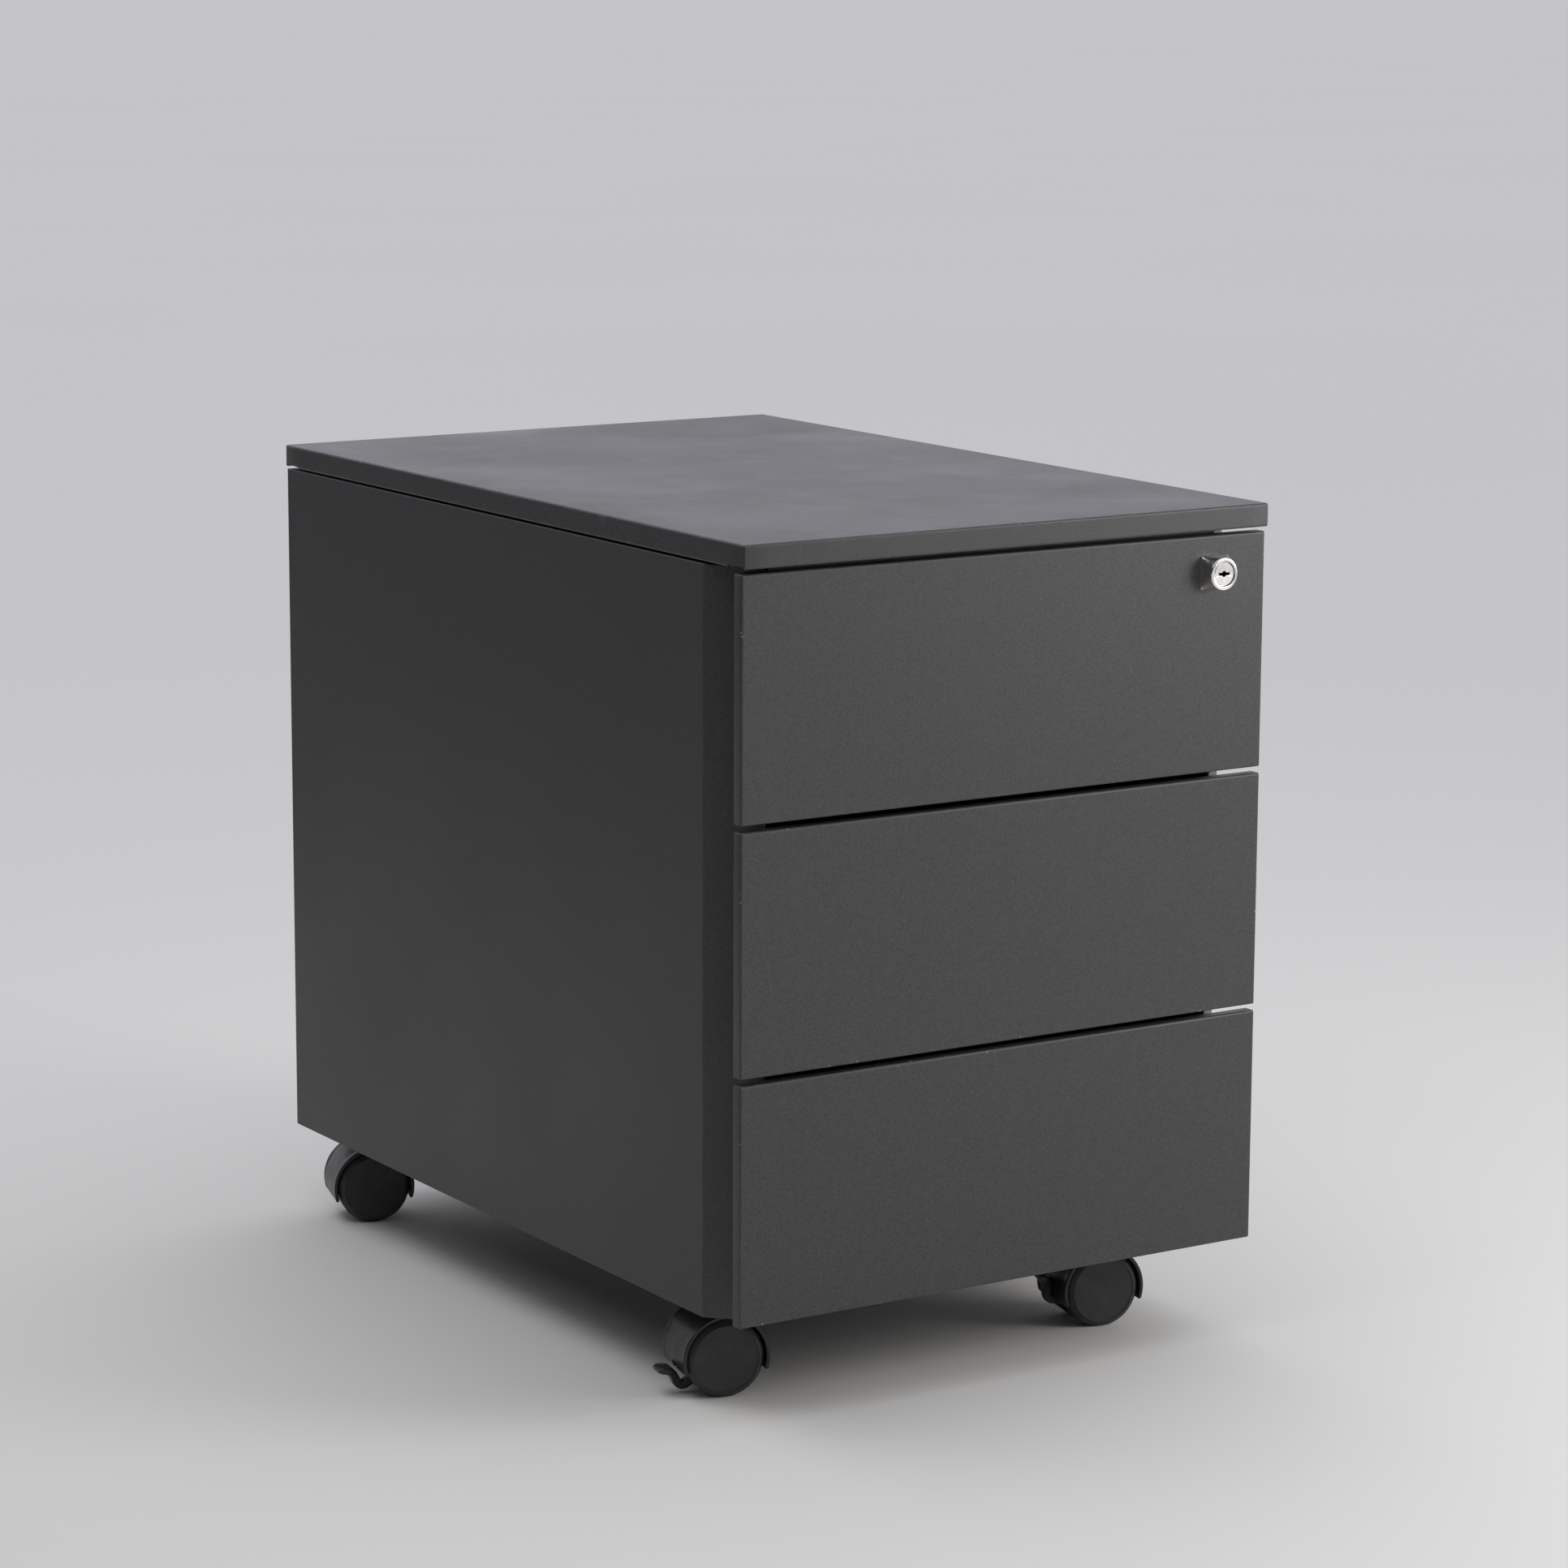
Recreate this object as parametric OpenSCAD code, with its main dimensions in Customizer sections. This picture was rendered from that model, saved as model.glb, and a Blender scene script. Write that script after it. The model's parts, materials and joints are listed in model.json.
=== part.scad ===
// Rolling pedestal cabinet: folded steel carcass, three drawers on ball-bearing
// slides, a cam lock that lifts a lock bar, and four hooded twin-wheel castors.
// Millimetres. +X right, -Y front, +Z up. Origin on the floor under the middle
// of the top plate.

/* [Cabinet] */
// Width of the top plate and of the drawer fronts
cab_w = 390; // [325:1:520]
// Depth of the top plate
cab_d = 600; // [500:1:760]
// Height of the top face above the floor
cab_h = 545; // [460:1:700]
// Thickness of the folded carcass sheet
sheet = 1; // [0.8:0.1:1.5]
// Depth of the fold round the top plate
top_skirt = 15; // [10:1:25]
// How far the side panels stand in from the top plate's edges
side_inset = 0.5; // [0.2:0.1:4]
// Gap between the top plate's skirt and the side panels below it
skirt_gap = 1.5; // [1:0.1:3]
// Width of the hollow column behind each finger recess
column_w = 28.5; // [24:0.5:32]
// Depth of the flange that carries the slides
flange_d = 45; // [42:1:60]
// Thickness of the base pan
base_t = 1.5; // [1:0.1:2.5]
// Height of the base pan's upturned edges
base_rim = 20; // [12:1:22]

/* [Drawers] */
// Gap between two drawer fronts
front_gap = 4; // [2:0.5:6]
// Gap between the top plate and the first drawer front
top_gap = 3; // [2:0.5:6]
// How far the drawer fronts stand back from the top plate's front edge
front_set = 3; // [1:0.5:5]
// Depth of a drawer front's folded edge
front_fold = 9; // [7:0.5:14]
// Thickness of a drawer box's sheet
box_t = 0.8; // [0.6:0.1:1.2]
// Height of a drawer box's sides
box_h = 85; // [70:1:90]
// Height of a drawer box's floor above the lower edge of its front
box_rise = 10; // [8:1:14]

/* [Slides] */
// Step between the lengths that slides are made in
slide_step = 50; // [25:25:50]
// Length of a slide that stays engaged when its drawer is fully out
slide_overlap = 100; // [80:5:140]
// Height of a slide's outer channel
slide_h = 36; // [34:1:40]
// Space that a slide takes between the carcass and the drawer box
slide_t = 12.5; // [12:0.1:13.5]
// Height of the middle of a slide above the lower edge of its front
slide_rise = 34; // [32:1:38]
// Diameter of a slide's balls
ball_d = 4.8; // [4:0.1:5]
// Length of a ball cage
cage_len = 200; // [120:5:260]

/* [Lock] */
// Width of the square base of the lock housing
lock_base = 22; // [20:0.5:24]
// How far the lock housing stands out
lock_out = 11; // [8:0.5:11]
// Diameter of the threaded barrel behind the housing
barrel_d = 18; // [16:0.5:18]
// Length of the cam from the lock's axis
cam_len = 22; // [20:0.5:23]
// How far the lock bar rises
bar_lift = 10; // [8:0.5:10]

/* [Castors] */
// Diameter of a castor wheel
wheel_d = 50; // [44:1:60]
// Width of one of the two wheels
wheel_w = 15; // [12:0.5:18]
// Width of the web between the two wheels
web_w = 11; // [11:0.5:14]
// Distance from the swivel axis to the wheel axis
trail = 18; // [16:1:22]
// Thickness of the hood over the wheels
hood_t = 2; // [1.5:0.1:3]
// Diameter of the swivel pin
pin_d = 8; // [7:0.1:8]
// Diameter of the threaded stem
stem_d = 10; // [8:1:12]
// How far the front swivel axes stand behind the top plate's front edge
castor_front = 80; // [76:1:110]
// How far the rear swivel axes stand before the top plate's rear edge
castor_rear = 52; // [46:1:100]
// How far the swivel axes stand in from the top plate's side edges
castor_side = 51; // [46:1:70]

/* [Hidden] */
$fn = 64;

// Clearances
air = 0.3;            // between faces of pieces that move past each other
fit = 0.06;           // radial, between a turning shaft and its hole
screw_fit = 0.1;      // radial, between a screw and its hole

// Carcass planes
side_x = cab_w / 2 - side_inset;
flange_x = side_x - column_w;
front_y = -cab_d / 2 + front_set;
back_y = cab_d / 2 - side_inset;
pan_back_y = front_y + front_fold;
column_y = pan_back_y + 6.5;          // foremost line of the carcass
wall_y = column_y + column_w;         // where the flat side begins
flange_y = column_y + flange_d;
slide_y = column_y + 2.5;             // front end of the slides
rear_space = 40;                      // least room behind a slide
slide_len = slide_step * floor((back_y - rear_space - slide_y) / slide_step);
drawer_travel = slide_len - slide_overlap;
box_d = slide_y + slide_len + 11 - pan_back_y;
pin_gap = 1;
collar_t = 3;
boss_rise = 3.5;
tyre_gap = 1.5;
hood_r = wheel_d / 2 + tyre_gap + hood_t;
carcass_z = wheel_d / 2 + hood_r + boss_rise + pin_gap + collar_t;
skirt_z = cab_h - top_skirt;
side_top = skirt_z - skirt_gap;
rail_top = cab_h - 6;                 // front cross rail, above the lock
floor_z = carcass_z + base_t;
return_w = 15;

// Drawers, counted from the top
DRAWERS = [1, 2, 3];
fronts_low = carcass_z + 3.5;
front_h = (skirt_z - top_gap - fronts_low - 2 * front_gap) / 3;
function drawer_z(i) = fronts_low + (3 - i) * (front_h + front_gap);
box_x = flange_x - slide_t;
fold_w = 24;                          // upper and lower inner flanges of a front
side_fold_w = 10;
neck_x = box_x - 13.5;                // half width of a box's raised front wall
screw_x = neck_x - 20;
screw_low = 16;
screw_high = front_h - 13.5;

// Slides: s runs from the flange towards the drawer
wall_t = 1.2;
groove = ball_d / 2 + air;            // from a ball's centre to a rail
outer_in = slide_h / 2 - wall_t;
ball_z = outer_in - groove;
rail_z = ball_z - groove;
rail_s = wall_t + 1.3;
ball_s = rail_s + 3;
cage_t = 0.8;
cage_s = wall_t + 0.2;
cage_y = slide_y + drawer_travel / 2;
rail_len = slide_len - 8.5;
balls_per_row = floor((cage_len - 20) / 30);
mount_front = 38.5;                   // screws, from the front of the slide
mount_rear = slide_len - 41;
upright_y = slide_y + mount_rear - 20;
upright_d = 40;

// Lock and lock bar
lock_x = box_x + 1.5;
lock_z = drawer_z(1) + front_h - 23.5;
lock_y = front_y - lock_out;
plug_r = 7.9;
tail_r = 4;
cam_y = column_y + 15.5;
cam_t = 2;
cam_w = 8;
bar_x = flange_x + 2;
bar_t = 2;
bar_w = 12;
bar_y = cam_y + cam_t + 4;
bar_low = drawer_z(3) + 42;
hook_t = 2;
hook_h = 11;
hook_reach = 8;
strike_rise = slide_rise + slide_h / 2 + 23;
strike_r = 3;
strike_y = bar_y + hook_t + 7;
tab_z = lock_z + cam_w / 2 + 0.5 - bar_lift;
guide_h = 10;
guide_rise = 46;

// Castors: name, side, end, direction of the trail at rest, brake lever angle
CASTORS = [
  ["front_left", -1, -1, 167, 0],
  ["front_right", 1, -1, 170, 25],
  ["rear_left", -1, 1, 163, -1],
  ["rear_right", 1, 1, 166, -1],
];
function castor_x(c) = c[1] * (cab_w / 2 - castor_side);
function castor_y(c) = c[2] < 0 ? -cab_d / 2 + castor_front : cab_d / 2 - castor_rear;
function braked(c) = c[4] >= 0;
axle_z = wheel_d / 2;
axle_r = 3;
wheel_in = web_w / 2 + 1;
wheel_out = wheel_in + wheel_w;
boss_r = 11;
boss_top = axle_z + hood_r + boss_rise;
socket_z = axle_z + 8;
hood_drop = 19;                       // degrees that the hood reaches below the axle
lever_t = 5.8;

CABINET_NODES = [
  "top_plate", "left_side_panel", "right_side_panel", "back_panel", "base_pan",
  "front_cross_rail", "rear_uprights", "slide_channels", "channel_screws",
  "slide_bumpers", "top_screws", "castor_stems", "castor_nuts", "lock_bar_guides",
  "lock_bar",
];
DRAWER_NODES = [
  "drawer_front", "drawer_box", "drawer_rails", "front_screws", "lock_strike",
  "ball_cages", "slide_balls",
];
LOCK_NODES = ["lock_housing", "lock_nut", "lock_cylinder", "lock_cam", "cam_screw"];
CASTOR_NODES = ["hood", "axle", "front_wheel", "rear_wheel"];

// ---- small helpers ----------------------------------------------------------

// Box given by its two corners
module box(low, high) {
  translate(low) cube(high - low);
}

// Cylinder along Y from y0 to y1
module rod_y(r, y0, y1) {
  translate([0, y0, 0]) rotate([-90, 0, 0]) cylinder(r = r, h = y1 - y0);
}

// Cylinder along X from x0 to x1
module rod_x(r, x0, x1) {
  translate([x0, 0, 0]) rotate([0, 90, 0]) cylinder(r = r, h = x1 - x0);
}

// Children on the left and on the right
module both_sides() {
  children();
  mirror([1, 0, 0]) children();
}

// ---- carcass ----------------------------------------------------------------

top_fix_x = side_x - 8;
top_fix_y = [-cab_d / 2 + 90, 0, cab_d / 2 - 60];
notch = [18, 1.5];                    // step in the side skirts near the corners
hem = 1.8;                            // lower edge of the front and rear skirts

module top_plate() {
  half = [cab_w / 2, cab_d / 2];
  color("dimgray") difference() {
    union() {
      difference() {
        box([-half.x, -half.y, skirt_z], [half.x, half.y, cab_h]);
        box([-half.x + sheet, -half.y + sheet, skirt_z - 1],
            [half.x - sheet, half.y - sheet, cab_h - sheet]);
        for (sx = [-1, 1]) for (sy = [-1, 1])
          translate([sx * half.x, sy * (half.y - sheet - notch.x / 2), skirt_z])
            cube([3 * sheet, notch.x, 2 * notch.y], center = true);
      }
      // hems along the lower edges of the front and rear skirts
      for (sy = [-1, 1])
        translate([-half.x + sheet, sy * (half.y - sheet - hem / 2) - hem / 2, skirt_z])
          cube([cab_w - 2 * sheet, hem, sheet]);
      // weld nuts
      for (sx = [-1, 1]) for (y = top_fix_y)
        translate([sx * top_fix_x, y, side_top]) cylinder(r = 5, h = cab_h - sheet / 2 - side_top);
    }
    for (sx = [-1, 1]) for (y = top_fix_y)
      translate([sx * top_fix_x, y, side_top - 1]) cylinder(r = 2 + screw_fit, h = 4.2);
  }
}

// Right side panel seen from above: flat side, rear return, 45 degree recess
// face, and the flange behind it that carries the slides
module side_outline() {
  corner = sheet * (sqrt(2) - 1);
  foot = sheet * (1 + sqrt(2));
  polygon([
    [side_x - return_w, back_y], [side_x, back_y], [side_x, wall_y],
    [flange_x, column_y], [flange_x, flange_y], [flange_x + sheet, flange_y],
    [flange_x + sheet, column_y + foot], [side_x - sheet, wall_y + corner],
    [side_x - sheet, back_y - sheet], [side_x - return_w, back_y - sheet],
  ]);
}

module side_panel() {
  difference() {
    union() {
      translate([0, 0, carcass_z]) linear_extrude(side_top - carcass_z) side_outline();
      box([side_x - return_w, wall_y + 2, side_top - sheet],
          [side_x - sheet / 2, back_y - sheet / 2, side_top]);
    }
    for (y = top_fix_y)
      translate([top_fix_x, y, side_top - 2]) cylinder(r = 2 + screw_fit, h = 3);
    for (i = DRAWERS)
      translate([0, slide_y + mount_front, drawer_z(i) + slide_rise])
        rod_x(1.8 + screw_fit, flange_x - 1, flange_x + sheet + 1);
  }
}

module left_side_panel() {
  color("dimgray") mirror([1, 0, 0]) side_panel();
}

// The right panel also has the slots for the lock cam and the three hooks
module right_side_panel() {
  x = [flange_x - 1, flange_x + sheet + 1];
  color("dimgray") difference() {
    side_panel();
    box([x[0], cam_y - 2, lock_z - cam_len - 4], [x[1], cam_y + cam_t + 2, lock_z + cam_w / 2 + 3]);
    for (i = DRAWERS) {
      z = drawer_z(i) + strike_rise - strike_r - 2;
      box([x[0], bar_y - 1, z - hook_h - 2], [x[1], bar_y + hook_t + 1.5, z + bar_lift + 2]);
    }
  }
}

module back_panel() {
  color("dimgray")
    box([-side_x + sheet + 0.2, back_y - 2 * sheet, carcass_z + 0.2],
        [side_x - sheet - 0.2, back_y - sheet, side_top - sheet]);
}

module base_pan() {
  w = side_x - sheet;
  rear = back_y - 2 * sheet;
  rim_y = flange_y + 4;
  color("dimgray") difference() {
    union() {
      box([-w, rim_y - 3, carcass_z], [w, rear, floor_z]);
      box([-flange_x, column_y + 2, carcass_z], [flange_x, rim_y, floor_z]);
      box([-flange_x, column_y + 2, carcass_z], [flange_x, column_y + 2 + sheet, carcass_z + 10]);
      box([-w, rear - sheet, carcass_z], [w, rear, carcass_z + base_rim]);
      both_sides()
        box([w - sheet, rim_y, carcass_z], [w, rear, carcass_z + base_rim]);
    }
    for (c = CASTORS)
      translate([castor_x(c), castor_y(c), carcass_z - 1])
        cylinder(r = stem_d / 2 + screw_fit, h = base_t + 2);
  }
}

module front_cross_rail() {
  z = rail_top;
  color("dimgray") {
    box([-flange_x, column_y + 1, z - 19], [flange_x, column_y + 1 + sheet, z]);
    box([-flange_x, column_y + 1, z - sheet], [flange_x, column_y + 16, z]);
  }
}

module rear_uprights() {
  reach = side_x - 2 * sheet;
  color("gray") both_sides() difference() {
    box([flange_x, upright_y, floor_z], [reach, upright_y + upright_d, side_top - sheet]);
    box([flange_x + wall_t, upright_y + wall_t, floor_z - 1],
        [reach + 1, upright_y + upright_d - wall_t, side_top]);
    for (i = DRAWERS)
      translate([0, slide_y + mount_rear, drawer_z(i) + slide_rise])
        rod_x(1.8 + screw_fit, flange_x - 1, flange_x + wall_t + 1);
  }
}

module top_screws() {
  color("silver") for (sx = [-1, 1]) for (y = top_fix_y)
    translate([sx * top_fix_x, y, side_top - sheet]) {
      translate([0, 0, -2.2]) cylinder(r = 3.5, h = 2.2);
      cylinder(r = 2, h = 4);
    }
}

// ---- slides -----------------------------------------------------------------

// Children at the height of each drawer's slides, on both sides. In them +X
// still points to the right side of the cabinet.
module at_slides(list = DRAWERS) {
  for (i = list) translate([0, 0, drawer_z(i) + slide_rise]) both_sides() children();
}

module slide_channels() {
  y1 = slide_y + slide_len;
  color("silver") at_slides() difference() {
    box([flange_x - 9, slide_y, -slide_h / 2], [flange_x, y1, slide_h / 2]);
    box([flange_x - 10, slide_y - 1, -outer_in], [flange_x - wall_t, y1 + 1, outer_in]);
    for (d = [mount_front, mount_rear]) translate([0, slide_y + d, 0]) {
      rod_x(1.8 + screw_fit, flange_x - 2, flange_x + 1);
      translate([flange_x - wall_t, 0, 0]) rotate([0, 90, 0])
        cylinder(r1 = 3 + screw_fit, r2 = 1.8 + screw_fit, h = wall_t);
    }
  }
}

module channel_screws() {
  color("silver") at_slides() for (d = [mount_front, mount_rear])
    translate([0, slide_y + d, 0]) {
      rod_x(1.8, flange_x - wall_t, flange_x + 3);
      translate([flange_x - wall_t, 0, 0]) rotate([0, 90, 0])
        cylinder(r1 = 3, r2 = 1.8, h = wall_t);
    }
}

module slide_bumpers() {
  y1 = slide_y + slide_len;
  color("black") at_slides()
    box([flange_x - 9, y1 - 8, -outer_in + 2], [flange_x - wall_t, y1, outer_in - 2]);
}

module drawer_rails(i) {
  color("silver") at_slides([i]) difference() {
    box([box_x, slide_y, -rail_z], [flange_x - rail_s, slide_y + rail_len, rail_z]);
    box([box_x + wall_t, slide_y - 1, -rail_z + wall_t],
        [flange_x, slide_y + rail_len + 1, rail_z - wall_t]);
  }
}

function ball_y(n) = cage_y + 10 + (n + 0.5) * (cage_len - 20) / balls_per_row;

module ball_cages(i) {
  s0 = flange_x - cage_s;
  y1 = cage_y + cage_len;
  zc = ball_z + cage_t / 2;
  color("gold") at_slides([i]) difference() {
    box([flange_x - ball_s - 3, cage_y, -zc], [s0, y1, zc]);
    box([flange_x - ball_s - 4, cage_y - 1, -zc + cage_t], [s0 - cage_t, y1 + 1, zc - cage_t]);
    // window that leaves two strips joined at their ends
    box([s0 - 2, cage_y + 8, -ball_z + 3], [s0 + 1, y1 - 8, ball_z - 3]);
    for (n = [0 : balls_per_row - 1])
      translate([flange_x - ball_s, ball_y(n), -zc - 1]) cylinder(r = ball_d / 2 + 0.15, h = 2 * zc + 2);
  }
}

module slide_balls(i) {
  color("lightgray") at_slides([i]) for (n = [0 : balls_per_row - 1]) for (sz = [-1, 1])
    translate([flange_x - ball_s, ball_y(n), sz * ball_z]) sphere(d = ball_d);
}

// ---- drawers ----------------------------------------------------------------

module drawer_front(i) {
  w = cab_w / 2;
  y1 = pan_back_y;
  color("darkslategray") translate([0, 0, drawer_z(i)]) difference() {
    box([-w, front_y, 0], [w, y1, front_h]);
    box([-w + sheet, front_y + sheet, sheet], [w - sheet, y1 - sheet, front_h - sheet]);
    box([-w + side_fold_w, y1 - 2 * sheet, fold_w], [w - side_fold_w, y1 + 1, front_h - fold_w]);
    for (sx = [-1, 1]) for (z = [screw_low, screw_high])
      translate([sx * screw_x, 0, z]) rod_y(2 + screw_fit, y1 - 2 * sheet, y1 + 1);
    if (i == 1)
      translate([lock_x, 0, lock_z - drawer_z(1)])
        rod_y(barrel_d / 2 + screw_fit, front_y - 1, y1 + 1);
  }
}

// Five sheets that are spot welded edge to edge: front, two sides, back and floor
module drawer_box(i) {
  y0 = pan_back_y;
  y1 = y0 + box_d;
  seam = 0.05;
  side_y = y0 + sheet + seam;
  inner_x = box_x - box_t - seam;
  color("gray") translate([0, 0, drawer_z(i)]) {
    difference() {
      union() {
        box([-box_x, y0, box_rise], [box_x, y0 + sheet, box_rise + box_h]);
        box([-neck_x, y0, box_rise], [neck_x, y0 + sheet, front_h - 7]);
      }
      for (sx = [-1, 1]) for (z = [screw_low, screw_high])
        translate([sx * screw_x, 0, z]) rod_y(2 + screw_fit, y0 - 1, y0 + sheet + 1);
    }
    both_sides()
      box([box_x - box_t, side_y, box_rise], [box_x, y1, box_rise + box_h]);
    box([-inner_x, side_y, box_rise], [inner_x, y1, box_rise + box_t]);
    box([-inner_x, y1 - box_t, box_rise + box_t + seam], [inner_x, y1, box_rise + box_h]);
  }
}

module front_screws(i) {
  y = pan_back_y;
  color("silver") for (sx = [-1, 1]) for (z = [screw_low, screw_high])
    translate([sx * screw_x, 0, drawer_z(i) + z]) {
      rod_y(2, y - 4, y + sheet);
      rod_y(3.8, y + sheet, y + sheet + 2.2);
    }
}

// Stud on the right side of a drawer box, behind its hook
module lock_strike(i) {
  color("silver") translate([0, strike_y, drawer_z(i) + strike_rise]) {
    rod_x(6, box_x, box_x + 1.2);
    rod_x(strike_r, box_x, flange_x - 2.5);
  }
}

// ---- lock -------------------------------------------------------------------

module at_lock() {
  translate([lock_x, 0, lock_z]) children();
}

module lock_housing() {
  half = lock_base / 2;
  face_r = plug_r + 1.9;
  color("silver") at_lock() difference() {
    union() {
      box([-half, front_y - 3, -half], [half, front_y, half]);
      translate([0, front_y, 0]) rotate([90, 0, 0])
        cylinder(r1 = half, r2 = face_r, h = lock_out);
      rod_y(barrel_d / 2, front_y, cam_y - 5);
    }
    rod_y(plug_r + fit, lock_y - 1, lock_y + 2.5);
    rod_y(6 + fit, lock_y, cam_y - 4);
  }
}

module lock_nut() {
  color("silver") at_lock() difference() {
    translate([0, front_y + sheet, 0]) rotate([-90, 0, 0]) cylinder(r = 13, h = 5, $fn = 6);
    rod_y(barrel_d / 2 + screw_fit, front_y, front_y + 10);
  }
}

module lock_cylinder() {
  color("gainsboro") at_lock() difference() {
    union() {
      rod_y(plug_r, lock_y + 0.4, lock_y + 2.2);
      rod_y(6, lock_y + 1, cam_y - 3);
      rod_y(tail_r, cam_y - 4, cam_y + cam_t);
    }
    box([-4.5, lock_y - 1, -0.9], [4.5, lock_y + 14, 0.9]);
    rod_y(1.75, lock_y - 1, lock_y + 14);
    rod_y(1.5 + screw_fit, cam_y - 2, cam_y + cam_t + 1);
  }
}

module lock_cam() {
  color("silver") at_lock() difference() {
    union() {
      rod_y(6.5, cam_y, cam_y + cam_t);
      box([-cam_w / 2, cam_y, -cam_len], [cam_w / 2, cam_y + cam_t, 0]);
    }
    rod_y(tail_r + screw_fit / 2, cam_y - 1, cam_y + cam_t + 1);
  }
}

module cam_screw() {
  color("silver") at_lock() {
    rod_y(1.5, cam_y - 1.5, cam_y + cam_t);
    rod_y(5, cam_y + cam_t, cam_y + cam_t + 2);
  }
}

// Strip in the right column, with a hook for each drawer and a tab over the cam
module lock_bar() {
  color("silver") {
    box([bar_x, bar_y, bar_low], [bar_x + bar_t, bar_y + bar_w, tab_z + 4]);
    box([bar_x, cam_y - 1, tab_z], [bar_x + 7, bar_y + 1, tab_z + 2]);
    for (i = DRAWERS) {
      z = drawer_z(i) + strike_rise - strike_r - 2;
      box([flange_x - hook_reach, bar_y, z - hook_h], [bar_x + bar_t, bar_y + hook_t, z]);
    }
  }
}

module lock_bar_guides() {
  x = bar_x + bar_t + air;
  color("silver") for (i = DRAWERS) translate([0, 0, drawer_z(i) + guide_rise]) difference() {
    box([flange_x + sheet, bar_y - air - 1.5, 0], [x + 1.2, bar_y + bar_w + air + 1.5, guide_h]);
    box([flange_x, bar_y - air, -1], [x, bar_y + bar_w + air, guide_h + 1]);
  }
}

// ---- castors ----------------------------------------------------------------

// Children placed on a castor's swivel axis, with +X along its trail
module at_castor(c) {
  translate([castor_x(c), castor_y(c), 0]) rotate([0, 0, c[3]]) children();
}

// Children placed on the axle
module at_axle() {
  translate([trail, 0, axle_z]) children();
}

// Sector of radius r from angle a0 to a1 about the axle, drawn in XZ and
// extruded w wide about the castor's middle plane
module sector(r, a0, a1, w) {
  n = ceil((a1 - a0) / 40);
  rotate([90, 0, 0]) translate([0, 0, -w / 2]) linear_extrude(w)
    polygon(concat([[0, 0]], [for (k = [0 : n]) let (a = a0 + k * (a1 - a0) / n)
      1.2 * r * [cos(a), sin(a)]]));
}

module castor_stems() {
  color("silver") for (c = CASTORS) translate([castor_x(c), castor_y(c), 0]) {
    translate([0, 0, socket_z + air]) cylinder(r = pin_d / 2, h = boss_top - socket_z);
    translate([0, 0, carcass_z - collar_t]) cylinder(r = 8, h = collar_t);
    translate([0, 0, carcass_z - collar_t]) cylinder(r = stem_d / 2, h = collar_t + base_t + 8);
    translate([0, 0, boss_top - 1]) cylinder(r = pin_d / 2, h = 3);
  }
}

module castor_nuts() {
  color("silver") for (c = CASTORS) translate([castor_x(c), castor_y(c), floor_z])
    difference() {
      cylinder(r = stem_d * 0.98, h = 6.5, $fn = 6);
      translate([0, 0, -1]) cylinder(r = stem_d / 2 + screw_fit, h = 9);
    }
}

module castor_hood(c) {
  color("#202122") at_castor(c) difference() {
    union() {
      at_axle() intersection() {
        rod_y(hood_r, -wheel_out, wheel_out);
        sector(hood_r, -hood_drop, 180 + hood_drop, 2 * wheel_out + 2);
      }
      translate([0, 0, axle_z + 14]) cylinder(r = boss_r, h = boss_top - axle_z - 14);
      at_axle() rod_y(6.5, -web_w / 2, web_w / 2);
    }
    // the two wheel cavities
    at_axle() for (s = [-1, 1])
      rod_y(hood_r - hood_t, s > 0 ? web_w / 2 : -wheel_out - 1, s > 0 ? wheel_out + 1 : -web_w / 2);
    // the web stops short on the trail side
    at_axle() difference() {
      intersection() {
        rod_y(hood_r - hood_t, -web_w / 2 - 1, web_w / 2 + 1);
        translate([4, -web_w, -wheel_d]) cube([wheel_d, 2 * web_w, 2 * wheel_d]);
      }
      rod_y(6.5, -web_w, web_w);
    }
    at_axle() rod_y(axle_r + screw_fit / 2, -web_w, web_w);
    translate([0, 0, socket_z]) cylinder(r = pin_d / 2 + fit, h = 60);
    // slot for the brake lever
    if (braked(c)) at_axle() {
      rod_y(8.5, -lever_t / 2 - air, lever_t / 2 + air);
      sector(hood_r, -75, 12, lever_t + 2 * air);
    }
  }
}

module castor_axle(c) {
  color("silver") at_castor(c) at_axle() rod_y(axle_r, -wheel_out + 2.5, wheel_out - 2.5);
}

// Half section of one wheel: distance from the axle, distance along it
module wheel_outline() {
  r = wheel_d / 2;
  hub = 7;
  difference() {
    polygon([
      [0, 4], [hub, 4], [hub, 0], [hub + 3, 0], [hub + 3, wheel_w - 3], [r - 4, wheel_w - 3],
      [r - 4, 0.5], [r - 0.5, 0], [r, 1], [r, wheel_w - 3], [r - 2.5, wheel_w - 0.4],
      [r - 4, wheel_w], [0, wheel_w],
    ]);
    translate([-1, -1]) square([axle_r + fit + 1, wheel_w - 1.5]);
    translate([hub - 3, -1]) square([3, 1]);
  }
}

module castor_wheel(c, s) {
  color("#2b2c2d") at_castor(c) at_axle() rotate([-90 * s, 0, 0])
    translate([0, 0, wheel_in]) rotate_extrude($fn = 96) wheel_outline();
}

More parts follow.
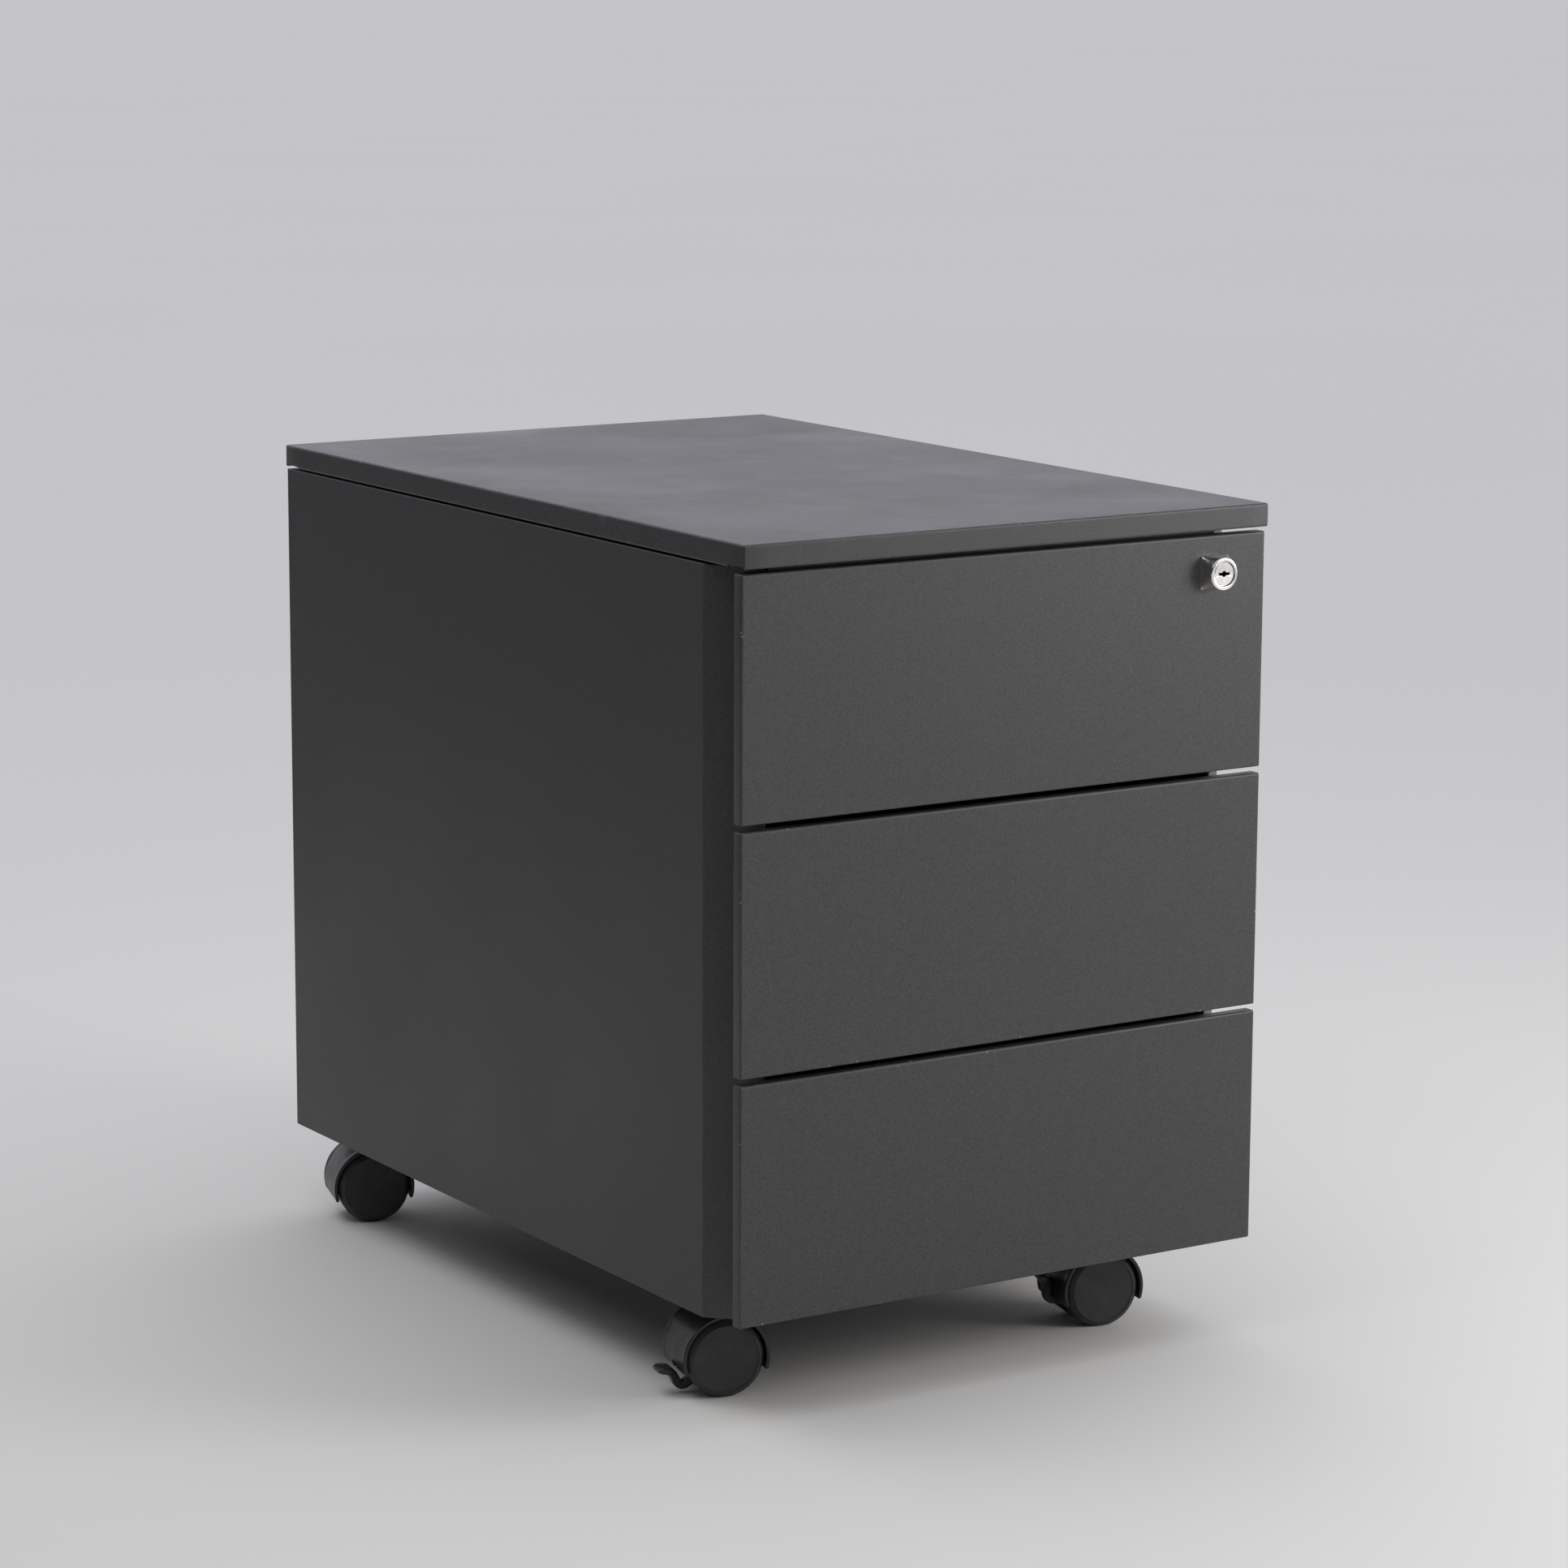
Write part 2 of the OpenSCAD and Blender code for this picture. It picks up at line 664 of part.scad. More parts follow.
// Brake lever: eye on the axle, arm down between the wheels to an elbow just
// above the floor, pad beyond the hood. It is drawn pressed down, and turned up
// by the castor's lever angle.
module brake_lever(c) {
  pad_w = 15;
  elbow = -axle_z + 3.8;
  color("#1c1d1e") at_castor(c) at_axle() rotate([0, -c[4], 0]) difference() {
    union() {
      rod_y(6.5, -lever_t / 2, lever_t / 2);
      rotate([90, 0, 0]) translate([0, 0, -lever_t / 2]) linear_extrude(lever_t)
        polygon([
          [4.5, -1.5], [hood_r - 7, elbow + 5.7], [hood_r - 3, elbow + 5.6],
          [hood_r + 4.5, -8.5], [hood_r + 11.5, -5.6], [hood_r + 12, -8.8],
          [hood_r + 7.5, -10.5], [hood_r - 1, elbow + 1], [hood_r - 8, elbow], [-0.5, -5.5],
        ]);
      rotate([90, 0, 0]) translate([0, 0, -pad_w / 2]) linear_extrude(pad_w)
        polygon([
          [hood_r + 3, -8.9], [hood_r + 11, -4.9], [hood_r + 13, -6.2], [hood_r + 12, -8.6],
          [hood_r + 5, -11.6],
        ]);
    }
    rod_y(axle_r + fit, -lever_t, lever_t);
  }
}

// ---- nodes ------------------------------------------------------------------

top_plate();
left_side_panel();
right_side_panel();
back_panel();
base_pan();
front_cross_rail();
rear_uprights();
slide_channels();
channel_screws();
slide_bumpers();
top_screws();
castor_stems();
castor_nuts();
lock_bar_guides();
lock_bar();
lock_housing();
lock_nut();
lock_cylinder();
lock_cam();
cam_screw();
for (i = DRAWERS) {
  drawer_front(i);
  drawer_box(i);
  drawer_rails(i);
  front_screws(i);
  lock_strike(i);
  ball_cages(i);
  slide_balls(i);
}
for (c = CASTORS) {
  castor_hood(c);
  castor_axle(c);
  castor_wheel(c, 1);
  castor_wheel(c, -1);
  brake_lever(c);
}
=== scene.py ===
"""Looks of a rolling pedestal cabinet: folded, powder-coated steel, three drawers,
a plated cam lock and four hooded twin-wheel castors.

Laid out as an add-on and run as a script. Every shape is a surface worked out
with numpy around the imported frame: a profile carried along a path, a lathe, or
the rings of a folded tray. Lengths are metres, in the frame's axes.
"""

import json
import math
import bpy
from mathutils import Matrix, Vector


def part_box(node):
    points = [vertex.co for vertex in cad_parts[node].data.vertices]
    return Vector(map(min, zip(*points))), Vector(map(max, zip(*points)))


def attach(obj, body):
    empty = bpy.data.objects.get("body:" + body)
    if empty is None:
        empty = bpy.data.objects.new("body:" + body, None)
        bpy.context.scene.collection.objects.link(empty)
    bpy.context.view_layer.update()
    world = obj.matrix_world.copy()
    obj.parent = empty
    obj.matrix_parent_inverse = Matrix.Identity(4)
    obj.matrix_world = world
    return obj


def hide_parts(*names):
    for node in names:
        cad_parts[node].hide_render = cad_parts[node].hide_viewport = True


bl_info = {
    "name": "Pedestal Cabinet Looks",
    "version": (1, 0, 0),
    "blender": (4, 5, 0),
    "location": "View3D > Sidebar > Pedestal",
    "description": "Builds the visible pieces and finishes of a rolling pedestal cabinet",
    "category": "Add Mesh",
}

import bmesh
import bpy
import numpy as np
from bpy.props import FloatProperty, FloatVectorProperty, PointerProperty
from bpy.types import Operator, Panel, PropertyGroup
from mathutils import Matrix, Vector

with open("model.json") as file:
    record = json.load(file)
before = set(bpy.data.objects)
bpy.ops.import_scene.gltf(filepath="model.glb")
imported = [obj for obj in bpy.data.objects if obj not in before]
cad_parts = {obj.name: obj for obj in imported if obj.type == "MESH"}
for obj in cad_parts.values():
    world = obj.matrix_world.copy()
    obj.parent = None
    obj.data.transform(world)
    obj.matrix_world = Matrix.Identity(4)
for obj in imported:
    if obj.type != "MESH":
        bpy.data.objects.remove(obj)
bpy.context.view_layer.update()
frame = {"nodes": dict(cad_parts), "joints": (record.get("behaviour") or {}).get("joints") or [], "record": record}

MM = 0.001
DRAWERS = (1, 2, 3)
CASTORS = ("front_left", "front_right", "rear_left", "rear_right")
BRAKED = ("front_left", "front_right")
# degrees above the pressed place at rest, and above the axle to where a hood's slot ends
LEVER_RAISED = {"front_left": 0.0, "front_right": 25.0}
SLOT_TOP = {"front_left": -8.0, "front_right": 12.0}
SPAN_SOCKETS = ("From Min", "From Max", "To Min", "To Max")
JOINTS = {joint["name"]: joint for joint in frame["joints"]}
UP = np.array([0, 0, 1.0])
# directions of a section at both ends of a straight path that runs fore and aft
SIDEWAYS = np.array([(1.0, 0, 0)] * 2)
UPWARDS = np.array([UP] * 2)
# signs of a rectangle's corners, counted round it from the first quarter
CORNERS = np.array([(1, 1), (-1, 1), (-1, -1), (1, -1)])


# ---- sizes and colours that a user would change ------------------------------


def length(name, description, default):
    """A property that holds a length."""
    return FloatProperty(name=name, description=description, default=default, unit="LENGTH")


def tone(name, description, default):
    """A property that holds a colour."""
    return FloatVectorProperty(
        name=name, description=description, default=default, size=3, subtype="COLOR"
    )


class SheetSizes(PropertyGroup):
    thickness: length("Sheet", "Thickness of the folded steel", 1 * MM)
    bend: length("Bend", "Outer radius of a fold", 1.5 * MM)
    corner: length("Corner", "Radius at a tray's corners", 1.2 * MM)
    side_flange: length("Side flange", "Rear flange at a front's sides", 10 * MM)
    long_flange: length("Long flange", "Rear flange above and below", 24 * MM)
    skirt: length("Skirt", "Height of the top plate's skirt", 15 * MM)
    rim: length("Drawer rim", "Height of a drawer box's folded rim", 9 * MM)


class CastorSizes(PropertyGroup):
    wall: length("Hood wall", "Thickness of the hood", 2 * MM)
    bevel: length("Wheel bevel", "Width of a wheel's bevelled rim", 3.4 * MM)
    slot: length("Lever slot", "Width of the hood's slot for a brake lever", 6.6 * MM)
    drop: FloatProperty(
        name="Hood drop",
        description="How far the hood reaches below the axle",
        default=math.radians(19),
        subtype="ANGLE",
    )


class FinishColours(PropertyGroup):
    paint: tone("Powder coat", "Anthracite of the steel", (0.047, 0.047, 0.0485))
    box: tone("Drawer boxes", "Coating inside the drawers", (0.06, 0.06, 0.062))
    moulded: tone("Castors", "Black of the moulded castors", (0.016, 0.016, 0.017))
    nickel: tone("Lock", "Plating of the lock", (0.87, 0.84, 0.8))
    zinc: tone("Zinc", "Plating of slides and screws", (0.56, 0.57, 0.58))
    ground: tone("Floor", "Pale floor", (0.8, 0.79, 0.75))


# ---- surfaces ----------------------------------------------------------------


def arc(centre, radius, start, end, steps=6):
    """Points at equal angles, in degrees, on a circle: centre + radius * (cos, sin)."""
    turn = np.radians(np.linspace(start, end, steps))
    return np.asarray(centre) + radius * np.stack([np.cos(turn), np.sin(turn)], 1)


def chain(*stretches):
    """One list of points from points and runs of points."""
    return np.vstack([np.atleast_2d(stretch) for stretch in stretches])


def rounded_path(corners, radius, steps=6, ease=0.8 * MM):
    """A path through the corners with each inner corner turned by an arc of that radius.

    At a corner the arc touches both legs at radius * tan(turn / 2) from it. A point
    on each leg, ease away from the arc, keeps the legs flat. Gives the path and
    which of its points are on an arc.
    """
    corners = np.asarray(corners, float)
    runs, bends = [corners[:1]], [np.zeros(1)]
    for before, here, after in zip(corners[:-2], corners[1:-1], corners[2:]):
        come = (here - before) / np.linalg.norm(here - before)
        go = (after - here) / np.linalg.norm(after - here)
        turn = math.acos(np.clip(come @ go, -1, 1))
        side = math.copysign(1, come[0] * go[1] - come[1] * go[0])
        reach = radius * math.tan(turn / 2)
        normal = side * np.array([-come[1], come[0]])
        middle = here - come * reach + normal * radius
        angle = side * np.linspace(0, turn, steps)
        out = -normal * radius
        runs.append((here - come * (reach + ease))[None])
        runs.append(
            middle
            + np.cos(angle)[:, None] * out
            + np.sin(angle)[:, None] * np.array([-out[1], out[0]])
        )
        runs.append((here + go * (reach + ease))[None])
        bends += [np.zeros(1), np.ones(steps), np.zeros(1)]
    runs.append(corners[-1:])
    bends.append(np.zeros(1))
    return np.vstack(runs), np.concatenate(bends)


def path_normals(path):
    """Left-hand normal at each point of a flat path: its direction turned a quarter left."""
    step = np.gradient(path, axis=0)
    step /= np.linalg.norm(step, axis=1)[:, None]
    return np.stack([-step[:, 1], step[:, 0]], 1)


def smooth_run(where, values):
    """Values between whole-numbered places, by a cubic over each span.

    The slope at a place is that between its neighbours.
    """
    slope = np.gradient(values)
    index = np.clip(np.floor(where).astype(int), 0, len(values) - 2)
    part = where - index
    a, b = values[index], values[index + 1]
    s, t = slope[index], slope[index + 1]
    return (
        a * (1 + 2 * part) * (1 - part) ** 2
        + s * part * (1 - part) ** 2
        + b * part**2 * (3 - 2 * part)
        + t * part**2 * (part - 1)
    )


def corner_spokes(steps):
    """Unit directions over the quarter circles of a rectangle's four corners: (4, steps, 2)."""
    turn = np.radians(np.arange(4)[:, None] * 90 + np.linspace(0, 90, steps))
    return np.stack([np.cos(turn), np.sin(turn)], 2)


def rounded_bar(half_u, half_v, radius, steps=3):
    """Closed section of a bar: a rectangle whose corners are quarter circles."""
    radius = min(radius, half_u, half_v)
    centres = CORNERS * (half_u - radius, half_v - radius)
    return (centres[:, None] + radius * corner_spokes(steps)).reshape(-1, 2)


def lattice(points, closed=False, cap_end=True):
    """Quads over a grid of points (u, v, 3) whose rows are rings.

    A closed one runs on from its last row to its first. Any other has a flat cap
    over its first row, and one over its last.
    """
    rows, columns = points.shape[:2]
    index = np.arange(rows * columns).reshape(rows, columns)
    lower = index if closed else index[:-1]
    upper = np.roll(index, -1, 0) if closed else index[1:]
    quads = np.stack([lower, np.roll(lower, -1, 1), np.roll(upper, -1, 1), upper], 2).reshape(-1, 4)
    faces = quads.tolist()
    if not closed:
        faces.append(index[0, ::-1].tolist())
        if cap_end:
            faces.append(index[-1].tolist())
    return points.reshape(-1, 3), faces


def carry(path, first, second, section):
    """A section carried along a path: point + u * first + v * second.

    section is one outline (m, 2), or one for each path point (n, m, 2).
    """
    section = np.broadcast_to(section, (len(path),) + np.shape(section)[-2:])
    grid = path[:, None] + section[..., :1] * first[:, None] + section[..., 1:] * second[:, None]
    return lattice(grid)


def lathe(profile, origin, axis, steps=96, closed=False, cap_end=True):
    """A profile of (radius, height) turned about an axis.

    A point is origin + height * axis + radius * spoke, and the spoke goes round.
    """
    axis = np.asarray(axis, float) / np.linalg.norm(axis)
    helper = np.array([1.0, 0, 0]) if abs(axis[0]) < 0.8 else np.array([0, 1.0, 0])
    spoke = np.cross(axis, helper)
    spoke /= np.linalg.norm(spoke)
    other = np.cross(axis, spoke)
    turn = np.linspace(0, 2 * math.pi, steps, endpoint=False)
    spokes = np.cos(turn)[:, None] * spoke + np.sin(turn)[:, None] * other
    grid = (
        np.asarray(origin)
        + profile[:, 1][:, None, None] * axis
        + profile[:, 0][:, None, None] * spokes
    )
    return lattice(grid, closed, cap_end)


def tray_rings(half_u, half_v, corner, profile, stations=(), steps=5):
    """Rings of a folded tray, as a grid (profile, ring, 3) of (u, v, height).

    A row of profile is (inset along u, inset along v, height). Its ring is a
    rectangle of the half sizes less the insets, whose corners are quarter circles
    of the corner radius less the inset. stations adds points at those distances
    from each corner along every side.
    """
    profile = np.asarray(profile, float)
    half = np.stack([half_u - profile[:, 0], half_v - profile[:, 1]], 1)
    radius = np.maximum(corner - profile[:, :2].min(1), 0.05 * MM)
    centres = CORNERS[None] * (half[:, None] - radius[:, None, None])
    ring = centres[:, :, None] + radius[:, None, None, None] * corner_spokes(steps)[None]
    if stations:
        ahead = np.array([(-1, 0), (0, -1), (1, 0), (0, 1)])
        back = np.array([(0, -1), (1, 0), (0, 1), (-1, 0)])
        reach = np.asarray(stations)[None, None, :, None]
        leave = ring[:, :, -1:] + reach * ahead[None, :, None]
        arrive = ring[:, :, :1] + reach[:, :, ::-1] * back[None, :, None]
        ring = np.concatenate([arrive, ring, leave], 2)
    ring = ring.reshape(len(profile), -1, 2)
    height = np.broadcast_to(profile[:, 2][:, None, None], ring.shape[:2] + (1,))
    return np.concatenate([ring, height], 2)


def flat_profile(points):
    """Profile for tray_rings with the same inset along both sides."""
    return np.stack([points[:, 0], points[:, 0], points[:, 1]], 1)


# ---- pieces ------------------------------------------------------------------


def place_object(name, data):
    """A new object with that data, in the scene."""
    made = bpy.data.objects.new(name, data)
    bpy.context.scene.collection.objects.link(made)
    return made


def make_piece(name, surfaces, body, slot, stands_for, finish=None, sharp=38.0, wear_and_highlight=None):
    """One mesh object from surfaces of (points, faces), riding on a body.

    Normals are made to point outwards, edges sharper than the angle stay crisp,
    and a fold mask, where given, is stored per vertex for the finish's edge wear and painted highlight.
    The finish is its slot's own unless another is named.
    """
    points, faces, start = [], [], 0
    for vertices, polygons in surfaces:
        points.append(vertices)
        faces += [[index + start for index in polygon] for polygon in polygons]
        start += len(vertices)
    mesh = bpy.data.meshes.new(name)
    mesh.from_pydata(np.vstack(points), [], faces)
    if wear_and_highlight is not None:
        layer = mesh.attributes.new("wear_and_highlight", "FLOAT", "POINT")
        layer.data.foreach_set("value", np.concatenate([np.ravel(part) for part in wear_and_highlight]))
    work = bmesh.new()
    work.from_mesh(mesh)
    bmesh.ops.remove_doubles(work, verts=work.verts, dist=1e-7)
    bmesh.ops.dissolve_degenerate(work, edges=work.edges, dist=1e-7)
    bmesh.ops.recalc_face_normals(work, faces=work.faces)
    work.to_mesh(mesh)
    work.free()
    mesh.shade_smooth()
    mesh.set_sharp_from_angle(angle=math.radians(sharp))
    piece = place_object(name, mesh)
    mesh.materials.append(FINISHES[finish or FINISH_OF_SLOT[slot]])
    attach(piece, body)
    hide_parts(*stands_for)
    return piece


def size_of(node):
    """(lowest, highest) corner of a CAD node as arrays."""
    low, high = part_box(node)
    return np.array(low), np.array(high)


def spot(joint):
    """A joint's point as an array."""
    return np.array(JOINTS[joint]["pos_m"], float)


def tray_wear_and_highlight(profile, columns, bend):
    """Fold mask for a tray's grid, for edge wear and a painted highlight: 1 on the outer fold, where the height is
    within the bend.
    """
    on_fold = (profile[:, 2] <= 0) & (profile[:, 2] >= -bend) & (profile[:, 0] <= bend)
    return np.repeat(on_fold.astype(float), columns)


# ---- finishes ----------------------------------------------------------------


class Finish:
    """Node tree of one procedural material, with short calls for its usual nodes."""

    def __init__(self, name):
        self.material = bpy.data.materials.new(name)
        self.material.use_nodes = True
        self.nodes = self.material.node_tree.nodes
        self.links = self.material.node_tree.links
        self.shader = self.nodes["Principled BSDF"]
        self.place = self.nodes.new("ShaderNodeTexCoord").outputs["Object"]

    def link(self, output, target):
        self.links.new(output, target)

    def stretched(self, scale, turn=(0, 0, 0)):
        """Object coordinates scaled along each axis, for brushed or scratched patterns."""
        mapping = self.nodes.new("ShaderNodeMapping")
        mapping.inputs["Scale"].default_value = scale
        mapping.inputs["Rotation"].default_value = turn
        self.link(self.place, mapping.inputs["Vector"])
        return mapping.outputs["Vector"]

    def noise(self, scale, detail=2.0, roughness=0.5, vector=None):
        texture = self.nodes.new("ShaderNodeTexNoise")
        texture.inputs["Scale"].default_value = scale
        texture.inputs["Detail"].default_value = detail
        texture.inputs["Roughness"].default_value = roughness
        self.link(vector or self.place, texture.inputs["Vector"])
        return texture.outputs["Fac"]

    def span(self, value, low, high, to_low=0.0, to_high=1.0):
        """Value carried from the range low..high to another range, and held inside it."""
        ramp = self.nodes.new("ShaderNodeMapRange")
        for socket, number in zip(SPAN_SOCKETS, (low, high, to_low, to_high)):
            ramp.inputs[socket].default_value = number
        self.link(value, ramp.inputs["Value"])
        return ramp.outputs["Result"]

    def maths(self, operation, first, second):
        node = self.nodes.new("ShaderNodeMath")
        node.operation = operation
        for socket, value in zip(node.inputs, (first, second)):
            if isinstance(value, (int, float)):
                socket.default_value = value
            else:
                self.link(value, socket)
        return node.outputs["Value"]

    def mix(self, amount, first, second):
        """Colour that runs from first to second with the amount."""
        node = self.nodes.new("ShaderNodeMix")
        node.data_type = "RGBA"
        self.link(amount, node.inputs["Factor"])
        for socket, value in ((node.inputs["A"], first), (node.inputs["B"], second)):
            if hasattr(value, "links"):
                self.link(value, socket)
            else:
                socket.default_value = (*value, 1.0)
        return node.outputs["Result"]

    def fold_wear_and_highlight(self):
        """The stored fold mask, for edge wear and a painted highlight: 0 where it has none."""
        node = self.nodes.new("ShaderNodeAttribute")
        node.attribute_name = "wear_and_highlight"
        return node.outputs["Fac"]

    def bump(self, height, distance, strength=1.0):
        node = self.nodes.new("ShaderNodeBump")
        node.inputs["Distance"].default_value = distance
        node.inputs["Strength"].default_value = strength
        self.link(height, node.inputs["Height"])
        self.link(node.outputs["Normal"], self.shader.inputs["Normal"])

    def colour(self, value):
        self.link(value, self.shader.inputs["Base Color"])

    def roughness(self, value):
        self.link(value, self.shader.inputs["Roughness"])

    def fixed(self, socket, value):
        self.shader.inputs[socket].default_value = value


def scaled(colour, factor):
    """A colour times a factor."""
    return tuple(min(channel * factor, 1.0) for channel in colour)


def powder_coat(name, colour, scuffed=0.0, rough=(0.40, 0.48)):
    """Fine-grained powder coat: speckle, soft clouds, folds lightened by wear and a painted highlight, and small
    nicks.
    """
    finish = Finish(name)
    clouds = finish.span(finish.noise(4.0, 3.0), 0.35, 0.65)
    body = finish.mix(clouds, scaled(colour, 0.97), scaled(colour, 1.03))
    grain = finish.noise(1100.0, 3.0, 0.65)
    body = finish.mix(finish.span(grain, 0.32, 0.68), scaled(colour, 0.55), scaled(colour, 1.5))
    body = finish.mix(finish.maths("MULTIPLY", clouds, 0.12), body, scaled(colour, 1.12))
    # folds lightened along the fold mask: partly edge wear, partly a painted highlight line on the bend
    rub_and_highlight = finish.span(finish.noise(30.0, 4.0), 0.35, 0.7, 0.0, 0.25 + 0.5 * scuffed)
    body = finish.mix(finish.maths("MULTIPLY", finish.fold_wear_and_highlight(), rub_and_highlight), body, scaled(colour, 2.2))
    nick = finish.span(finish.noise(150.0, 2.0, 0.7), 0.725, 0.74)
    body = finish.mix(finish.maths("MULTIPLY", nick, finish.fold_wear_and_highlight()), body, (0.42, 0.41, 0.4))
    dust = finish.span(finish.noise(420.0, 1.0), 0.83, 0.85, 0.0, 0.3)
    body = finish.mix(dust, body, (0.3, 0.3, 0.3))
    shine = finish.span(finish.noise(7.0, 4.0), 0.3, 0.7, *rough)
    if scuffed:
        hair = finish.noise(1.0, 3.0, 0.6, finish.stretched((700, 9, 9), (0, 0, 0.5)))
        cross = finish.noise(1.0, 3.0, 0.6, finish.stretched((8, 600, 8), (0, 0, 0.25)))
        patch = finish.span(finish.noise(7.0, 2.0), 0.5, 0.62)
        hair = finish.maths("MULTIPLY", finish.span(hair, 0.66, 0.72), patch)
        cross = finish.maths("MULTIPLY", finish.span(cross, 0.68, 0.74), patch)
        marks = finish.maths("MULTIPLY", finish.maths("MAXIMUM", hair, cross), scuffed)
        body = finish.mix(marks, body, scaled(colour, 3.4))
        haze = finish.span(finish.noise(11.0, 5.0, 0.65), 0.5, 0.75, 0.0, scuffed)
        body = finish.mix(haze, body, scaled(colour, 1.7))
        shine = finish.maths("SUBTRACT", shine, finish.maths("MULTIPLY", haze, 0.12))
        speck = finish.span(finish.noise(650.0, 1.0), 0.77, 0.79, 0.0, scuffed)
        body = finish.mix(speck, body, (0.5, 0.5, 0.5))
        fleck = finish.noise(420.0, 1.0, 0.5, finish.stretched((1, 0.35, 1), (0, 0, 0.6)))
        body = finish.mix(finish.span(fleck, 0.8, 0.82), body, scaled(colour, 0.2))
    finish.colour(body)
    finish.roughness(shine)
    finish.bump(grain, 0.00016, 0.5)
    return finish.material


def moulded_plastic(name, colour, rough, grain_scale, lift=1.0):
    """Moulded black nylon: fine erosion grain, faint dust in soft patches, satin or matt."""
    finish = Finish(name)
    dust = finish.span(finish.noise(60.0, 6.0, 0.65), 0.5, 0.82, 0.0, 0.28 * lift)
    body = finish.mix(dust, colour, scaled(colour, 4.0))
    grain = finish.noise(grain_scale, 3.0, 0.6)
    finish.colour(finish.mix(finish.span(grain, 0.35, 0.75, 0.0, 0.3), body, scaled(colour, 2.0)))
    finish.roughness(finish.span(finish.noise(90.0, 4.0), 0.3, 0.7, rough - 0.05, rough + 0.08))
    finish.bump(grain, 0.00008, 0.3)
    return finish.material


def plated(name, colour, rough):
    """Plated steel: bright metal with a drawn grain and a few duller clouds."""
    finish = Finish(name)
    grain = finish.noise(1.0, 4.0, 0.6, finish.stretched((40, 900, 40)))
    clouds = finish.span(finish.noise(35.0, 3.0), 0.35, 0.7)
    body = finish.mix(clouds, colour, scaled(colour, 0.82))
    finish.colour(finish.mix(finish.span(grain, 0.3, 0.7, 0.0, 0.25), body, scaled(colour, 0.7)))
    finish.roughness(finish.span(grain, 0.3, 0.7, rough, rough + 0.12))
    finish.bump(grain, 0.00003, 0.2)
    finish.fixed("Metallic", 1.0)
    return finish.material


def deep_shadow(name, colour):
    """The inside of a keyway, painted near black as its shade: matt, with no sheen."""
    finish = Finish(name)
    shade_mottle = finish.span(finish.noise(600.0, 3.0), 0.3, 0.7)
    finish.colour(finish.mix(shade_mottle, colour, scaled(colour, 1.6)))
    finish.fixed("Roughness", 1.0)
    finish.fixed("Specular IOR Level", 0.0)
    return finish.material


def polished_nickel(name, colour):
    """Glossy nickel plate, with faint cast waviness and fine wipe marks."""
    finish = Finish(name)
    wave = finish.noise(160.0, 2.0)
    wipe = finish.noise(1.0, 3.0, 0.6, finish.stretched((2200, 300, 400), (0.4, 0.3, 0.8)))
    finish.colour(finish.mix(finish.span(wave, 0.3, 0.7), colour, scaled(colour, 0.9)))
    finish.roughness(finish.span(wipe, 0.35, 0.7, 0.15, 0.27))
    finish.bump(wave, 0.0001, 0.25)
    finish.fixed("Metallic", 1.0)
    return finish.material


def rubber(name, colour):
    """Matt rubber with a cloudy bloom and a fine skin."""
    finish = Finish(name)
    bloom = finish.span(finish.noise(50.0, 4.0), 0.4, 0.75, 0.0, 0.4)
    finish.colour(finish.mix(bloom, colour, scaled(colour, 2.2)))
    finish.roughness(finish.span(finish.noise(200.0), 0.3, 0.7, 0.7, 0.85))
    finish.bump(finish.noise(900.0), 0.00006, 0.3)
    return finish.material


FINISHES = {}
FINISH_OF_SLOT = {
    "anthracite_paint": "paint", "box_paint": "box", "zinc_steel": "zinc",
    "cage_steel": "strip", "lock_nickel": "nickel", "castor_plastic": "hood",
    "wheel_plastic": "wheel", "bumper_rubber": "rubber",
}


def make_finishes():
    """All the materials, by name, from the scene's colours."""
    tint = bpy.context.scene.pedestal_colours
    FINISHES.update(
        paint=powder_coat("anthracite_powder_coat", tint.paint),
        top=powder_coat("anthracite_powder_coat_scuffed", tint.paint, 0.5, (0.36, 0.46)),
        box=powder_coat("drawer_box_coat", tint.box, 0.0, (0.45, 0.55)),
        hood=moulded_plastic("castor_nylon_satin", tint.moulded, 0.36, 700.0),
        wheel=moulded_plastic("castor_nylon_matt", scaled(tint.moulded, 1.75), 0.52, 1300.0, 1.4),
        nickel=polished_nickel("lock_nickel_plate", tint.nickel),
        keyway=deep_shadow("keyway_shadow", (0.004, 0.0035, 0.003)),
        zinc=plated("bright_zinc_plate", tint.zinc, 0.28),
        strip=plated("strip_steel", scaled(tint.zinc, 0.8), 0.34),
        rubber=rubber("bumper_rubber_matt", (0.02, 0.02, 0.021)),
    )


# ---- folded steel ------------------------------------------------------------


def folded_edge(thickness, bend, depth, hem):
    """Profile of a tray's fold and its hem: (inset, height), from its face to its inside.

    The face turns by a quarter circle of the bend radius, runs down the skirt,
    turns in by the hem, and comes back up one sheet further in.
    """
    nose = thickness * 0.5
    turn = 1.3 * MM
    return chain(
        (bend + 3 * thickness, 0),
        (bend + 0.6 * MM, 0),
        arc((bend, -bend), bend, 90, 180, 7),
        (0, -bend - 0.6 * MM),
        (0, -depth + turn + 0.3 * MM),
        arc((turn, -depth + turn), turn, 180, 270, 5),
        arc((thickness + hem - nose, -depth + nose), nose, 270, 450, 6),
        (thickness + turn, -depth + 2 * nose + 0.1 * MM),
        (thickness, -depth + turn + 0.3 * MM),
        arc((bend, -bend), bend - thickness, 180, 90, 5),
        (bend + 3 * thickness, -thickness),
    )


